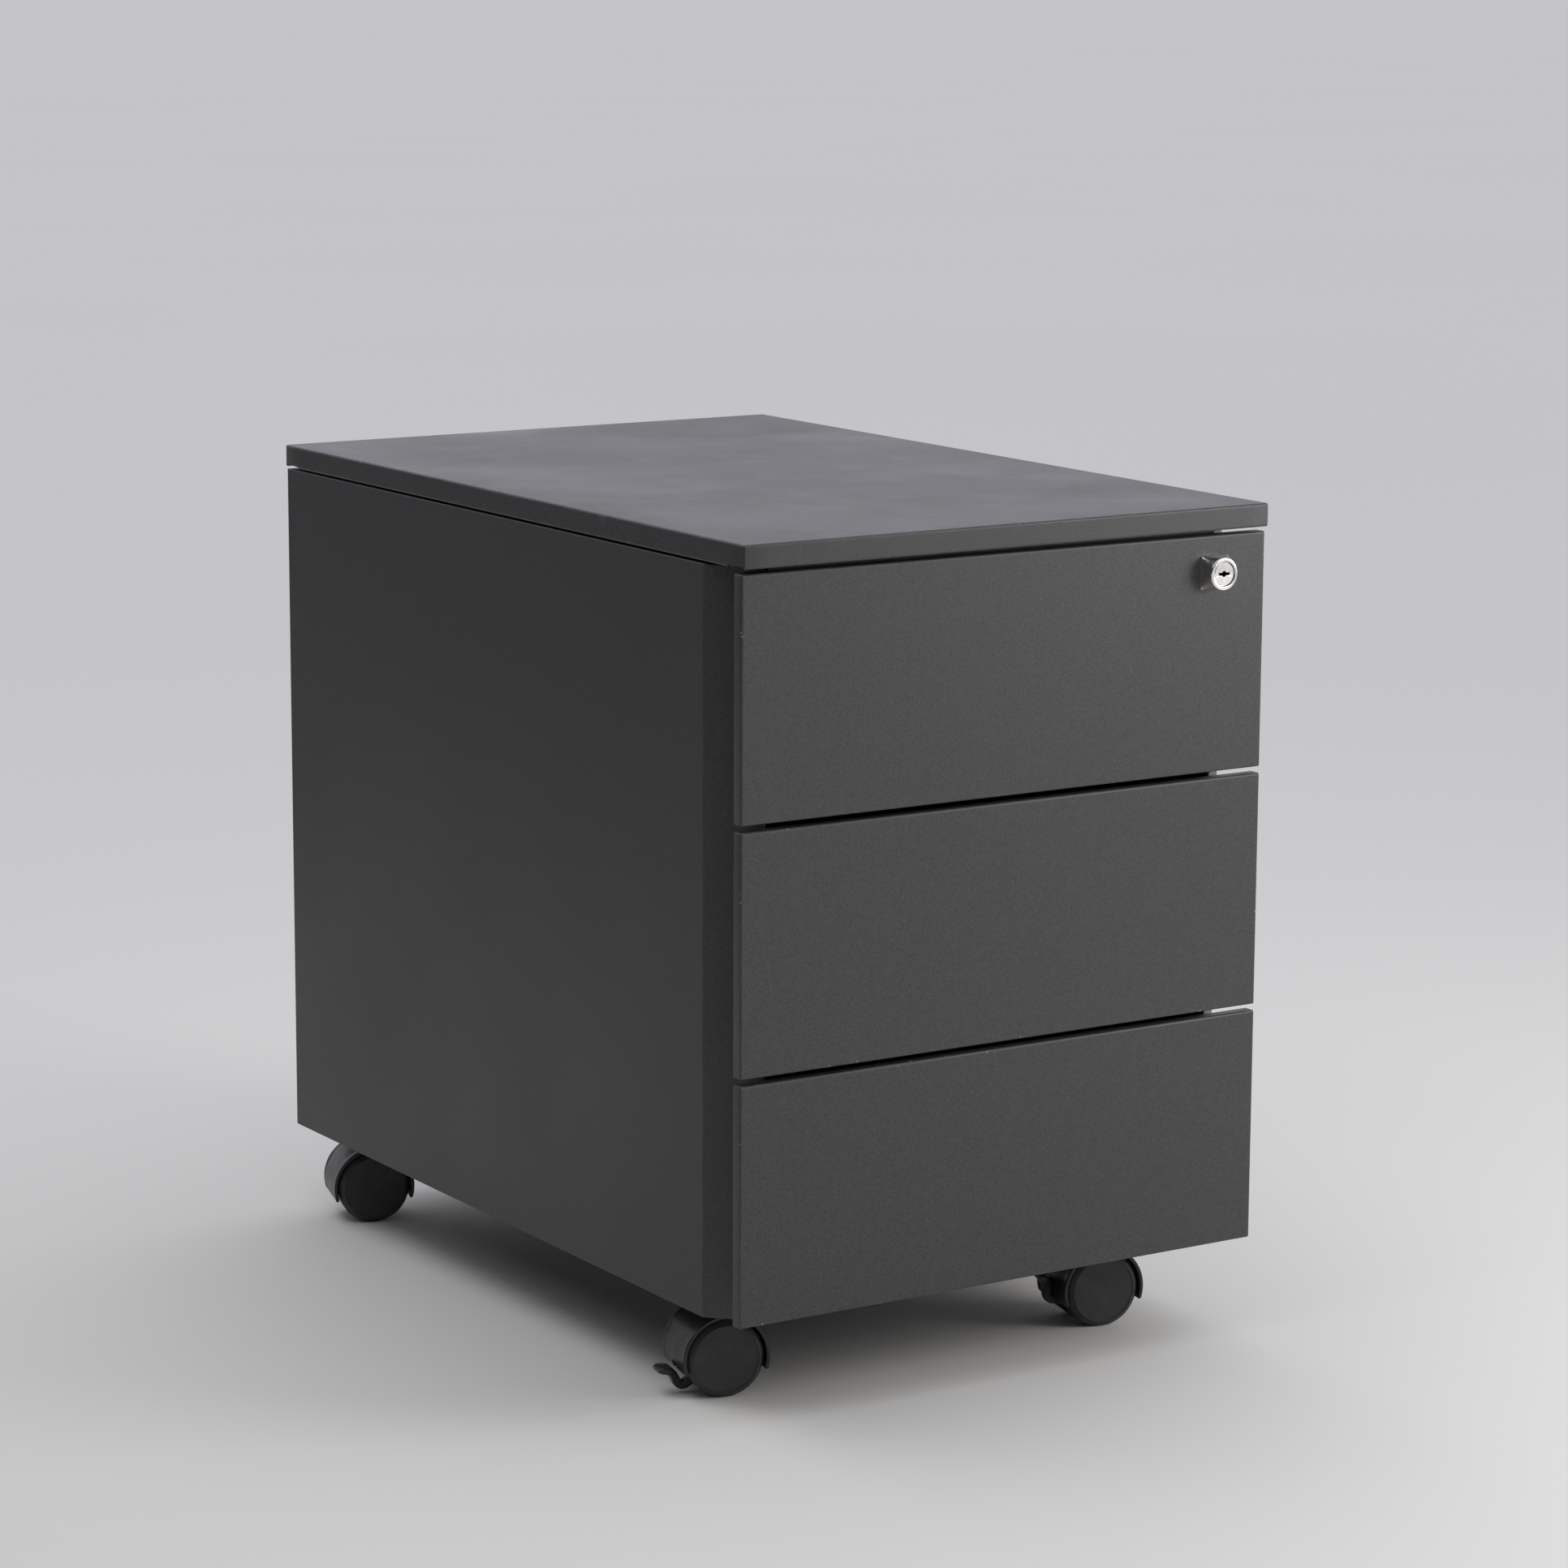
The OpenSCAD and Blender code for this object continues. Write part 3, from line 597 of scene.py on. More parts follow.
def top_plate_piece(sheet):
    """The top: a shallow folded tray. Its side hems stop short of the corners."""
    low, high = size_of("top_plate")
    half = (high - low) / 2
    depth = sheet.skirt
    step_reach, step_height = 18 * MM, 1.5 * MM
    profile = flat_profile(folded_edge(sheet.thickness, sheet.bend, depth, 1.8 * MM))
    stations = (step_reach - 0.4 * MM, step_reach)
    grid = tray_rings(half[0], half[1], sheet.corner, profile, stations)
    short = (
        (abs(grid[..., 0]) > half[0] - 3.5 * MM)
        & (abs(grid[..., 1]) > half[1] - sheet.corner - step_reach + 0.2 * MM)
        & (abs(grid[..., 1]) < half[1] - 1.2 * MM)
        & (grid[..., 2] < -depth + 1.3 * MM)
    )
    grid[..., 2] += short * step_height
    wear_and_highlight = tray_wear_and_highlight(profile, grid.shape[1], sheet.bend)
    grid[..., 2] += high[2]
    centre = (low + high) / 2
    grid[..., :2] += centre[:2]
    make_piece(
        "top_plate_tray", [lattice(grid)], "cabinet", "anthracite_paint",
        ["top_plate"], "top", wear_and_highlight=[wear_and_highlight],
    )


def lock_slots():
    """The openings in the right slide flange for the cam and the hooks: (y, y, z, z) each."""
    cam_low, cam_high = size_of("lock_cam")
    slots = [(
        cam_low[1] - 2 * MM, cam_high[1] + 2 * MM, cam_low[2] - 4 * MM, cam_high[2] + 0.5 * MM
    )]
    for number in DRAWERS:
        low, high = size_of(f"lock_strike_{number}")
        middle = (low[2] + high[2]) / 2
        slots.append((
            cam_high[1] + 3 * MM, cam_high[1] + 7.5 * MM, middle - 18 * MM, middle + 7 * MM
        ))
    return slots


def slotted_flange(x, y, z, slots):
    """A flat upright sheet with openings, as bars that meet edge to edge.

    The sheet is cut into bands at every opening's ends. In a band, a bar runs over
    each height that no opening covers.
    """
    cuts = np.unique([*y, *(edge for slot in slots for edge in slot[:2])])
    bars = []
    for start, end in zip(cuts[:-1], cuts[1:]):
        middle = (start + end) / 2
        open_here = sorted(slot[2:] for slot in slots if slot[0] < middle < slot[1])
        edges = [z[0], *(edge for pair in open_here for edge in pair), z[1]]
        for foot, head in zip(edges[::2], edges[1::2]):
            section = np.array([(x[0], foot), (x[1], foot), (x[1], head), (x[0], head)])
            path = np.array([(0, start, 0), (0, end, 0)])
            bars.append(carry(path, SIDEWAYS, UPWARDS, section))
    return bars


def side_panel_piece(side, sheet):
    """A side: rear return, flat side, 45 degree recess face and slide flange, in one folded strip.

    The strip's section, a thin upright bar, is carried along the folded line in plan.
    The right one ends short of the lock's openings, and bars make the rest of its flange.
    """
    node = ("left" if side < 0 else "right") + "_side_panel"
    low, high = size_of(node)
    outer = max(abs(low[0]), abs(high[0]))
    inner = min(abs(low[0]), abs(high[0]))
    column = outer - inner
    half = sheet.thickness / 2
    front = low[1]
    flange_end = front + 45 * MM
    strip_end = front + 12 * MM if side > 0 else flange_end
    lean = half * math.tan(math.radians(22.5))
    corners = [
        (outer - 15 * MM, high[1] - half),
        (outer - half, high[1] - half),
        (outer - half, front + column + lean),
        (inner + half, front + lean + 2 * half),
        (inner + half, strip_end),
    ]
    path, bends = rounded_path(corners, sheet.bend - half)
    normals = path_normals(path)
    flip = np.array([side, 1.0])
    place = np.concatenate([path * flip, np.zeros((len(path), 1))], 1)
    across = np.concatenate([normals * flip, np.zeros((len(path), 1))], 1)
    upright = np.broadcast_to(UP, place.shape)
    turn = 0.85 * MM
    section = chain(
        (half, high[2] - 2 * turn),
        arc((half - turn, high[2] - turn), turn, 0, 90, 5),
        (-half, high[2]),
        (-half, low[2]),
        (half - 0.3 * MM, low[2]),
        (half, low[2] + 0.3 * MM),
    )
    surface = carry(place, across, upright, section)
    flange_x = outer - np.array([0.4, 15.0]) * MM
    flange_y = np.array([front + column + 2 * MM, high[1] - 0.5 * MM])
    ends = np.array([(side * flange_x.mean(), y, high[2] - half) for y in flange_y])
    flange = carry(
        ends, SIDEWAYS, UPWARDS, rounded_bar(np.ptp(flange_x) / 2, half - 0.02 * MM, 0.2 * MM)
    )
    bars = slotted_flange(
        (inner, inner + sheet.thickness), (strip_end, flange_end), (low[2], high[2]), lock_slots()
    ) if side > 0 else []
    wear_and_highlight = [np.repeat(bends, len(section)), *(np.zeros(len(part[0])) for part in (flange, *bars))]
    make_piece(
        node + "_folded", [surface, flange, *bars], "cabinet", "anthracite_paint",
        [node], wear_and_highlight=wear_and_highlight,
    )


def drawer_front_piece(number, sheet):
    """A front: a pan whose edges fold back and in again, further above and below.

    The rings of the fold's profile are rectangles that shrink by its insets.
    """
    node = f"drawer_front_{number}"
    low, high = size_of(node)
    half = (high - low) / 2
    depth = high[1] - low[1]
    thickness, bend = sheet.thickness, sheet.bend
    nose = thickness / 2
    turn = 1.4 * MM
    fold = chain(
        (bend + 3 * thickness, 0),
        (bend + 0.6 * MM, 0),
        arc((bend, -bend), bend, 90, 180, 7),
        (0, -bend - 0.6 * MM),
        arc((turn, -depth + turn), turn, 180, 270, 5),
    )
    back = chain(
        (thickness, -depth + turn + 0.2 * MM),
        (thickness, -bend),
        (bend, -thickness),
        (bend + 3 * thickness, -thickness),
    )
    lip = chain(arc((0, -depth + nose), nose, 270, 450, 6), (-4 * MM, -depth + thickness))
    long_lip = lip + (sheet.long_flange - nose, 0)
    side_lip = lip + (sheet.side_flange - nose, 0)
    profile = np.vstack([
        flat_profile(fold),
        np.stack([side_lip[:, 0], long_lip[:, 0], lip[:, 1]], 1),
        flat_profile(back),
    ])
    rings = tray_rings(half[0], half[2], sheet.corner, profile)
    centre = (low + high) / 2
    grid = np.stack(
        [rings[..., 0] + centre[0], low[1] - rings[..., 2], rings[..., 1] + centre[2]], 2
    )
    wear_and_highlight = tray_wear_and_highlight(profile, rings.shape[1], bend)
    make_piece(
        f"drawer_front_{number}_pan", [lattice(grid)], f"drawer_{number}",
        "anthracite_paint", [node], wear_and_highlight=[wear_and_highlight],
    )


def drawer_box_piece(number, sheet):
    """A drawer box: an open tray with a rim folded inwards, and a raised wall at its front."""
    node = f"drawer_box_{number}"
    low, high = size_of(node)
    thickness = 0.8 * MM
    bend = 1.6 * MM
    height = 85 * MM
    nose = thickness
    rim = sheet.rim
    middle_z = (low[2] + high[2]) / 2
    profile = flat_profile(chain(
        (bend + 2 * MM, 0),
        arc((bend, bend), bend, 270, 180, 5),
        (0, height - 2 * nose),
        arc((nose, height - nose), nose, 180, 0, 7),
        (2 * nose, height - rim),
        (thickness, height - rim - 0.2 * MM),
        (thickness, bend + 0.2 * MM),
        arc((bend, bend), bend - thickness, 180, 270, 4),
        (bend + 2 * MM, thickness),
    ))
    half = (high - low) / 2
    grid = tray_rings(half[0], half[1], 1.5 * MM, profile)
    grid += ((low + high) / 2)[:2].tolist() + [low[2]]
    past_screws, wall_thickness = 16 * MM, 0.9 * MM
    wall_half = size_of(f"front_screws_{number}")[1][0] + past_screws
    section = rounded_bar(wall_half, (high[2] - low[2]) / 2, 5 * MM, 6)
    path = np.array([(0, low[1], middle_z), (0, low[1] + wall_thickness, middle_z)])
    wall = carry(path, SIDEWAYS, UPWARDS, section)
    make_piece(
        f"drawer_box_{number}_tray", [lattice(grid), wall], f"drawer_{number}",
        "box_paint", [node],
    )


# ---- lock --------------------------------------------------------------------


def lock_frame():
    """Axis of the lock and the planes of its front and of the drawer front."""
    low, high = size_of("lock_housing")
    centre = (low + high) / 2
    return centre[0], centre[2], low[1], size_of("drawer_front_1")[0][1]


def lock_rings(radius, depth, turn):
    """A grid of rings about the lock's axis: (x + radius * cos, depth, z + radius * sin)."""
    x, z = lock_frame()[:2]
    return np.stack([
        x + radius * np.cos(turn),
        np.broadcast_to(depth[:, None], radius.shape),
        z + radius * np.sin(turn),
    ], 2)


def housing_piece():
    """The lock's housing: a square foot whose sides curve in to a round face.

    Each ring is a superellipse of radius (|cos|^p + |sin|^p)^(-1/p) times its half
    width. The power p falls from nearly square at the foot to a circle at the face.
    """
    x, z, face_y, plate_y = lock_frame()
    low, high = size_of("lock_housing")
    half = (high[0] - low[0]) / 2
    out = plate_y - face_y
    face = 10.3 * MM
    rise = np.array([0, 0.04, 0.06, 0.14, 0.24, 0.36, 0.5, 0.64, 0.78, 0.9, 0.965])
    scoop = np.array([1, 1, 0.992, 0.972, 0.958, 0.948, 0.942, 0.94, 0.938, 0.937, 0.936])
    power = np.interp(rise, [0, 0.06, 0.24, 0.5, 0.78, 0.965], [24.0, 20.0, 7.0, 3.6, 2.4, 2.0])
    turn = np.linspace(0, 2 * math.pi, 96, endpoint=False)
    power = power[:, None]
    reach = (abs(np.cos(turn)) ** power + abs(np.sin(turn)) ** power) ** (-1 / power)
    radius = reach * (scoop * half)[:, None]
    well = 8.0 * MM
    lip = chain(
        (face - 0.35 * MM, 0.99), (face - 0.9 * MM, 1.0), (well + 0.35 * MM, 1.0),
        (well + 0.05 * MM, 0.985), (well, 1 - 9 * MM / out),
    )
    radius = np.vstack([radius, np.repeat(lip[:, :1], len(turn), 1)])
    grid = lock_rings(radius, plate_y - np.concatenate([rise, lip[:, 1]]) * out, turn)
    thread_radius, thread_end = 8.9 * MM, high[1] - plate_y
    barrel = chain(
        (thread_radius, 0.5 * MM), (thread_radius, thread_end - 0.6 * MM),
        (thread_radius - 0.6 * MM, thread_end),
    )
    thread = lathe(barrel, (x, plate_y, z), (0, 1, 0), 64)
    make_piece(
        "lock_housing_body", [lattice(grid), thread], "drawer_1", "lock_nickel",
        ["lock_housing"], sharp=50.0,
    )


def plug_piece():
    """The lock's plug: a disc with a keyway cut into it, and its tail.

    The keyway's outline is the larger of two radii at each angle: a long slot's,
    min(half length / |cos|, half height / |sin|), and a round hole's. The face
    runs from that outline to the disc's rim, and the walls run straight in.
    """
    x, z, face_y, plate_y = lock_frame()
    tail_end = size_of("lock_cylinder")[1][1]
    turn = np.linspace(0, 2 * math.pi, 128, endpoint=False) + 1e-4
    slot = np.minimum(4.3 * MM / abs(np.cos(turn)), 0.85 * MM / abs(np.sin(turn)))
    key = np.maximum(np.minimum(slot, 4.45 * MM), 1.75 * MM)
    rim, body = 7.75 * MM, 5.9 * MM
    rows = [
        (key, 8.0), (key, 0.75), (key + 0.18 * MM, 0.5), (key + (rim - key) * 0.5, 0.45),
        (rim - 0.5 * MM, 0.42), (rim, 0.9), (rim, 2.2), (body, 2.3), (body, 0),
    ]
    radius = np.array([np.broadcast_to(row[0], turn.shape) for row in rows])
    depth = face_y + np.array([row[1] for row in rows]) * MM
    depth[-1] = plate_y + 20 * MM
    tail = lathe(
        chain((4 * MM, plate_y + 19 * MM), (4 * MM, tail_end)), (x, 0, z), (0, 1, 0), 48
    )
    piece = make_piece(
        "lock_cylinder_plug", [lattice(lock_rings(radius, depth, turn)), tail],
        "lock_cylinder", "lock_nickel", ["lock_cylinder"], sharp=30.0,
    )
    # faces inside the keyway take the painted shade: near black, matt, with no sheen
    piece.data.materials.append(FINISHES["keyway"])
    keyway_reach, keyway_from, keyway_to = 4.6 * MM, face_y + 0.7 * MM, face_y + 8.5 * MM
    for polygon in piece.data.polygons:
        centre = polygon.center
        inside = math.hypot(centre.x - x, centre.z - z) < keyway_reach
        if inside and keyway_from < centre.y < keyway_to:
            polygon.material_index = 1


# ---- castors -----------------------------------------------------------------


def castor_frame(name):
    """(swivel foot on the floor, axle centre, trail direction, axle direction) of a castor."""
    swivel = spot(name + "_swivel")
    axle = spot(name + "_front_wheel_roll")
    along = np.array(JOINTS[name + "_front_wheel_roll"]["axis"], float)
    trail = axle - swivel
    trail[2] = 0
    return swivel * (1, 1, 0), axle, trail / np.linalg.norm(trail), along / np.linalg.norm(along)


def spin(axle, trail, degrees, radius):
    """Points at a radius from the axle, at angles in degrees above the trail direction."""
    turn = np.radians(degrees)[:, None]
    return axle + radius * (np.cos(turn) * trail + np.sin(turn) * UP)


def shell_stretch(castor, outline, outer, start, end, round_start=True, round_end=True):
    """A stretch of a hood's shell: an outline carried round the axle between two angles.

    Over the last few degrees of a rounded end its thickness follows a quarter ellipse.
    """
    _, axle, trail, along = castor
    ease = np.array([0, 0.35, 0.9, 2.0, 3.4])
    head = start + ease if round_start else np.array([start])
    tail = end - ease[::-1] if round_end else np.array([end])
    inner = np.linspace(head[-1] + 1.6, tail[0] - 1.6, max(round((end - start) / 3), 2))
    angles = np.concatenate([head, inner, tail])
    to_start = angles - start if round_start else np.full(len(angles), 90.0)
    to_end = end - angles if round_end else np.full(len(angles), 90.0)
    near = np.clip(np.minimum(to_start, to_end) / 3.4, 0, 1)
    shrink = np.sqrt(np.clip(1 - (1 - near) ** 2, 0.04, 1))[:, None]
    centre = (outline[:, 1].max() + outline[:, 1].min()) / 2
    sections = np.stack([
        outline[:, 0] * (1 - (1 - shrink) * 0.056),
        centre + (outline[:, 1] - centre) * shrink,
    ], 2)
    path = spin(axle, trail, angles, outer)
    radial = (path - axle) / outer
    return carry(path, np.broadcast_to(along, path.shape), radial, sections)


def hood_piece(name, sizes):
    """A castor's hood: a shell over both wheels, the web between them and the swivel boss.

    The shell's section is a thin bar with a thicker lip at both ends. Where a brake
    lever passes, the shell is two strips with a slot between them.
    """
    castor = castor_frame(name)
    foot, axle, trail, along = castor
    outer = axle[2] + 1.5 * MM + sizes.wall
    wall = sizes.wall
    half_width = 21.45 * MM
    drop = math.degrees(sizes.drop)
    lip = 1.1 * MM
    upper = chain(
        arc((half_width - 0.5 * MM, -0.5 * MM), 0.5 * MM, 0, 90, 4),
        (half_width - 2.6 * MM, 0),
    )
    lower = chain(
        (half_width - 3.6 * MM, -wall - 0.15 * lip),
        arc((half_width - 0.6 * MM, -wall + 0.3 * MM), 0.6 * MM, -90, 0, 4),
    )
    right = np.vstack([lower, upper])
    middle_top = np.linspace(half_width - 3.1 * MM, -half_width + 3.1 * MM, 9)
    top = np.stack([middle_top, -0.22 * MM + 0.15 * MM * (1 - (middle_top / half_width) ** 2)], 1)
    bottom = np.array([(-half_width + 4.6 * MM, -wall), (half_width - 4.6 * MM, -wall)])
    whole = np.vstack([right, top, right[::-1] * (-1, 1), bottom])
    if name in BRAKED:
        edge = sizes.slot / 2
        end = SLOT_TOP[name]
        strip = chain(right, top[0], (edge, top[4, 1]), (edge, -wall), bottom[1])
        shell = [
            shell_stretch(castor, whole, outer, end, 180 + drop, round_start=False),
            shell_stretch(castor, strip, outer, -drop, end + 0.01, round_end=False),
            shell_stretch(castor, strip[::-1] * (-1, 1), outer, -drop, end + 0.01, round_end=False),
        ]
    else:
        shell = [shell_stretch(castor, whole, outer, -drop, 180 + drop)]

    web_half = 5.5 * MM
    web_path = np.vstack([
        spin(axle, trail, np.linspace(81.5, 180 + drop - 1, 24), outer - wall - 0.02 * MM),
        spin(axle, trail, np.linspace(235, 395, 12), 6.4 * MM),
        spin(axle, trail, [52.0], 6.6 * MM),
    ])
    span = np.array([-web_half, -web_half + 0.4 * MM, web_half - 0.4 * MM, web_half])
    inset = np.array([0.985, 1, 1, 0.985])
    web_grid = axle + (web_path - axle)[None] * inset[:, None, None] + span[:, None, None] * along
    web = lattice(web_grid)

    boss_top = size_of(name + "_hood")[1][2] - axle[2]
    boss_low = math.sqrt(outer**2 - np.dot(axle[:2] - foot[:2], axle[:2] - foot[:2])) - 8 * MM
    boss_radius = 10.9 * MM
    boss = lathe(
        chain(
            (6 * MM, boss_low),
            (boss_radius - 1.5 * MM, boss_low),
            (boss_radius, boss_low + 1.5 * MM),
            (boss_radius, boss_top - 1.6 * MM),
            arc((boss_radius - 1.0 * MM, boss_top - 1.0 * MM), 1.0 * MM, 0, 90, 4),
            (5.2 * MM, boss_top),
        ),
        (foot[0], foot[1], axle[2]), UP, 48,
    )
    make_piece(
        name + "_hood_shell", [*shell, web, boss], name + "_castor", "castor_plastic",
        [name + "_hood"], sharp=42.0,
    )


def wheel_piece(name, which, sizes):
    """One wheel: a flat disc with a bevelled rim, a rounded tread and a hollow back.

    Its profile of (radius, distance from the castor's middle) is in millimetres.
    """
    _, axle, _, along = castor_frame(name)
    node = f"{name}_{which}_wheel"
    low, high = size_of(node)
    outward = along if np.dot((low + high) / 2 - axle, along) > 0 else -along
    inner, outer = 6.5, 21.5
    radius = axle[2] / MM
    disc = radius - sizes.bevel / MM - 0.7
    profile = chain(
        (0.01, outer - 0.5),
        (disc - 1.2, outer - 0.5),
        (disc - 0.2, outer - 0.42),
        (disc, outer - 0.08),
        (disc + 0.5, outer),
        (disc + 0.9, outer - 0.12),
        (radius - 1.1, outer - 2.2),
        arc((radius - 1.3, outer - 3.6), 1.3, 50, 0, 4),
        (radius, (inner + outer) / 2),
        arc((radius - 1.0, inner + 1.1), 1.0, 0, 80, 4),
        (radius - 3.6, inner + 0.3),
        (radius - 4, inner + 0.9),
        (radius - 4, outer - 3.5),
        (10.0, outer - 3.5),
        (10.0, inner + 0.1),
        (9.4, inner),
        (3.2, inner),
        (3.2, outer - 4),
        (0.01, outer - 4),
    ) * MM
    make_piece(
        node + "_disc", [lathe(profile, axle, outward)], node, "wheel_plastic",
        [node], sharp=36.0,
    )


def lever_piece(name):
    """A brake lever: an eye on the axle, an arm between the wheels and a foot pad.

    A rounded bar is carried along the lever's bent line. It widens at the pad.
    """
    _, axle, trail, along = castor_frame(name)
    line = np.array([
        (3.0, -2.8), (9.5, -9.2), (16.0, -15.4), (20.2, -18.9), (23.4, -19.8), (26.2, -18.0),
        (28.3, -14.0), (30.6, -10.6), (33.8, -9.0), (37.2, -8.6), (39.9, -8.6),
    ]) * MM
    half_width = np.array([2.9, 2.9, 2.9, 2.9, 2.9, 3.1, 4.2, 6.4, 7.3, 7.2, 5.8]) * MM
    half_thick = np.array([2.8, 2.8, 2.8, 2.8, 2.8, 2.7, 2.5, 2.3, 2.1, 1.8, 0.9]) * MM
    fine = np.linspace(0, len(line) - 1, 41)
    smooth = np.stack([smooth_run(fine, line[:, k]) for k in (0, 1)], 1)
    wide = smooth_run(fine, half_width)
    thick = smooth_run(fine, half_thick)
    turn = math.radians(LEVER_RAISED[name])
    tilt = np.array([(math.cos(turn), math.sin(turn)), (-math.sin(turn), math.cos(turn))])
    smooth = smooth @ tilt
    normal = path_normals(smooth)
    path = axle + smooth[:, :1] * trail + smooth[:, 1:] * UP
    across = normal[:, :1] * trail + normal[:, 1:] * UP
    sideways = np.broadcast_to(along, path.shape)
    sections = np.stack([rounded_bar(w, t, 0.9 * MM, 4) for w, t in zip(wide, thick)])
    arm = carry(path, sideways, across, sections)
    eye = lathe(
        chain((3.1, -2.9), (6.2, -2.9), (6.5, -2.6), (6.5, 2.6), (6.2, 2.9), (3.1, 2.9)) * MM,
        axle, along, 48, closed=True,
    )
    make_piece(
        name + "_brake_pedal", [arm, eye], name + "_brake_lever", "castor_plastic",
        [name + "_brake_lever"], sharp=45.0,
    )


# ---- operators ---------------------------------------------------------------


class PEDESTAL_OT_finishes(Operator):
    """Makes the procedural finishes"""

    bl_idname = "pedestal.finishes"
    bl_label = "Finishes"

    def execute(self, context):
        make_finishes()
        return {"FINISHED"}


class PEDESTAL_OT_top(Operator):
    """Builds the folded top plate"""

    bl_idname = "pedestal.top"
    bl_label = "Top plate"

    def execute(self, context):
        top_plate_piece(context.scene.pedestal_sheet)
        return {"FINISHED"}


class PEDESTAL_OT_sides(Operator):
    """Builds the two folded side panels"""

    bl_idname = "pedestal.sides"
    bl_label = "Side panels"

    def execute(self, context):
        for side in (-1, 1):
            side_panel_piece(side, context.scene.pedestal_sheet)
        return {"FINISHED"}


class PEDESTAL_OT_drawers(Operator):
    """Builds the drawer fronts and the drawer boxes"""

    bl_idname = "pedestal.drawers"
    bl_label = "Drawers"

    def execute(self, context):
        for number in DRAWERS:
            drawer_front_piece(number, context.scene.pedestal_sheet)
            drawer_box_piece(number, context.scene.pedestal_sheet)
        return {"FINISHED"}


class PEDESTAL_OT_lock(Operator):
    """Builds the lock's housing and its plug"""

    bl_idname = "pedestal.lock"
    bl_label = "Lock"

    def execute(self, context):
        housing_piece()
        plug_piece()
        return {"FINISHED"}


class PEDESTAL_OT_castors(Operator):
    """Builds the castor hoods, wheels and brake levers"""

    bl_idname = "pedestal.castors"
    bl_label = "Castors"

    def execute(self, context):
        sizes = context.scene.pedestal_castors
        for name in CASTORS:
            hood_piece(name, sizes)
            for which in ("front", "rear"):
                wheel_piece(name, which, sizes)
        for name in BRAKED:
            lever_piece(name)
        return {"FINISHED"}


class PEDESTAL_OT_hardware(Operator):
    """Gives every CAD node that stays in sight its finish"""

    bl_idname = "pedestal.hardware"
    bl_label = "Hardware finishes"

    def execute(self, context):
        for entry in frame["record"]["subparts"]:
            node = frame["nodes"][entry["node"]]
            node.data.materials.clear()
            node.data.materials.append(FINISHES[FINISH_OF_SLOT[entry["material_slot"]]])
        return {"FINISHED"}


class PEDESTAL_OT_stage(Operator):
    """Sets the floor, the light and the camera"""

    bl_idname = "pedestal.stage"
    bl_label = "Stage"

    def execute(self, context):
        make_floor(context.scene.pedestal_colours.ground)
        make_flag()
        make_light(context.scene)
        make_camera(context.scene)
        return {"FINISHED"}


def make_floor(colour):
    """A wide plain floor: rings of a flat disc, out to well past the horizon's start."""
    radius = np.array([0.01, 0.5, 2.0, 8.0, 30.0, 120.0])
    profile = np.stack([radius, np.zeros_like(radius)], 1)
    points, faces = lathe(profile, (0, 0, 0), UP, 64, cap_end=False)
    mesh = bpy.data.meshes.new("floor")
    mesh.from_pydata(points, [], faces)
    floor = place_object("floor", mesh)
    finish = Finish("pale_floor")
    clouds = finish.span(finish.noise(0.7), 0.3, 0.7)
    finish.colour(finish.mix(clouds, scaled(colour, 0.995), scaled(colour, 1.005)))
    finish.fixed("Roughness", 0.9)
    finish.fixed("Specular IOR Level", 0.1)
    mesh.materials.append(finish.material)


def make_flag():
    """A black card on the left that the camera doesn't see. It darkens what the side mirrors."""
    points = np.array([(-1.05, -0.7, 0), (-1.05, 3.2, 0), (-1.05, 3.2, 0.75), (-1.05, -0.7, 0.75)])
    mesh = bpy.data.meshes.new("flag")
    mesh.from_pydata(points, [], [(0, 1, 2, 3)])
    flag = place_object("flag", mesh)
    flag.visible_camera = False
    finish = Finish("black_card")
    finish.colour(finish.mix(finish.noise(3.0), (0.01, 0.01, 0.01), (0.014, 0.014, 0.014)))
    finish.fixed("Roughness", 1.0)
    mesh.materials.append(finish.material)


def area_light(name, where, aim, size, power, colour=(1, 1, 1)):
    """A soft rectangular lamp at a place, facing a point."""
    data = bpy.data.lights.new(name, "AREA")
    data.shape = "RECTANGLE"
    data.size, data.size_y = size
    data.energy = power
    data.color = colour
    lamp = place_object(name, data)
    lamp.location = where
    lamp.rotation_euler = (Vector(aim) - Vector(where)).to_track_quat("-Z", "Y").to_euler()


def make_light(scene):
    """A soft room, dim on the left and pale on the right and overhead, and two soft lamps.

    The room's strength follows the cosine between a direction and its pale side, and
    rises towards the zenith. One lamp stands at the front right, and one hangs over
    the floor on the left.
    """
    scene.view_settings.view_transform = "Standard"
    world = bpy.data.worlds.new("studio")
    world.use_nodes = True
    nodes, links = world.node_tree.nodes, world.node_tree.links
    place = nodes.new("ShaderNodeTexCoord")

    def glow(direction, low, high, weakest, strongest):
        toward = nodes.new("ShaderNodeVectorMath")
        toward.operation = "DOT_PRODUCT"
        toward.inputs[1].default_value = Vector(direction).normalized()
        ramp = nodes.new("ShaderNodeMapRange")
        for socket, number in zip(SPAN_SOCKETS, (low, high, weakest, strongest)):
            ramp.inputs[socket].default_value = number
        links.new(place.outputs["Generated"], toward.inputs[0])
        links.new(toward.outputs["Value"], ramp.inputs["Value"])
        return ramp.outputs["Result"]

    total = nodes.new("ShaderNodeMath")
    links.new(glow((0.75, 0.4, 0.45), -0.6, 0.7, 0.03, 0.67), total.inputs[0])
    links.new(glow((0, 0.35, 0.94), 0.35, 1.0, 0.0, 0.53), total.inputs[1])
    links.new(total.outputs["Value"], nodes["Background"].inputs["Strength"])
    nodes["Background"].inputs["Color"].default_value = (0.96, 0.965, 1.05, 1)
    scene.world = world
    area_light("key", (1.1, -1.2, 0.75), (0.15, -0.3, 0.4), (0.7, 0.6), 10.0, (1.0, 0.985, 0.96))
    area_light("wash", (-0.72, 0.1, 1.3), (-0.72, 0.1, 0), (0.5, 1.1), 2.6)


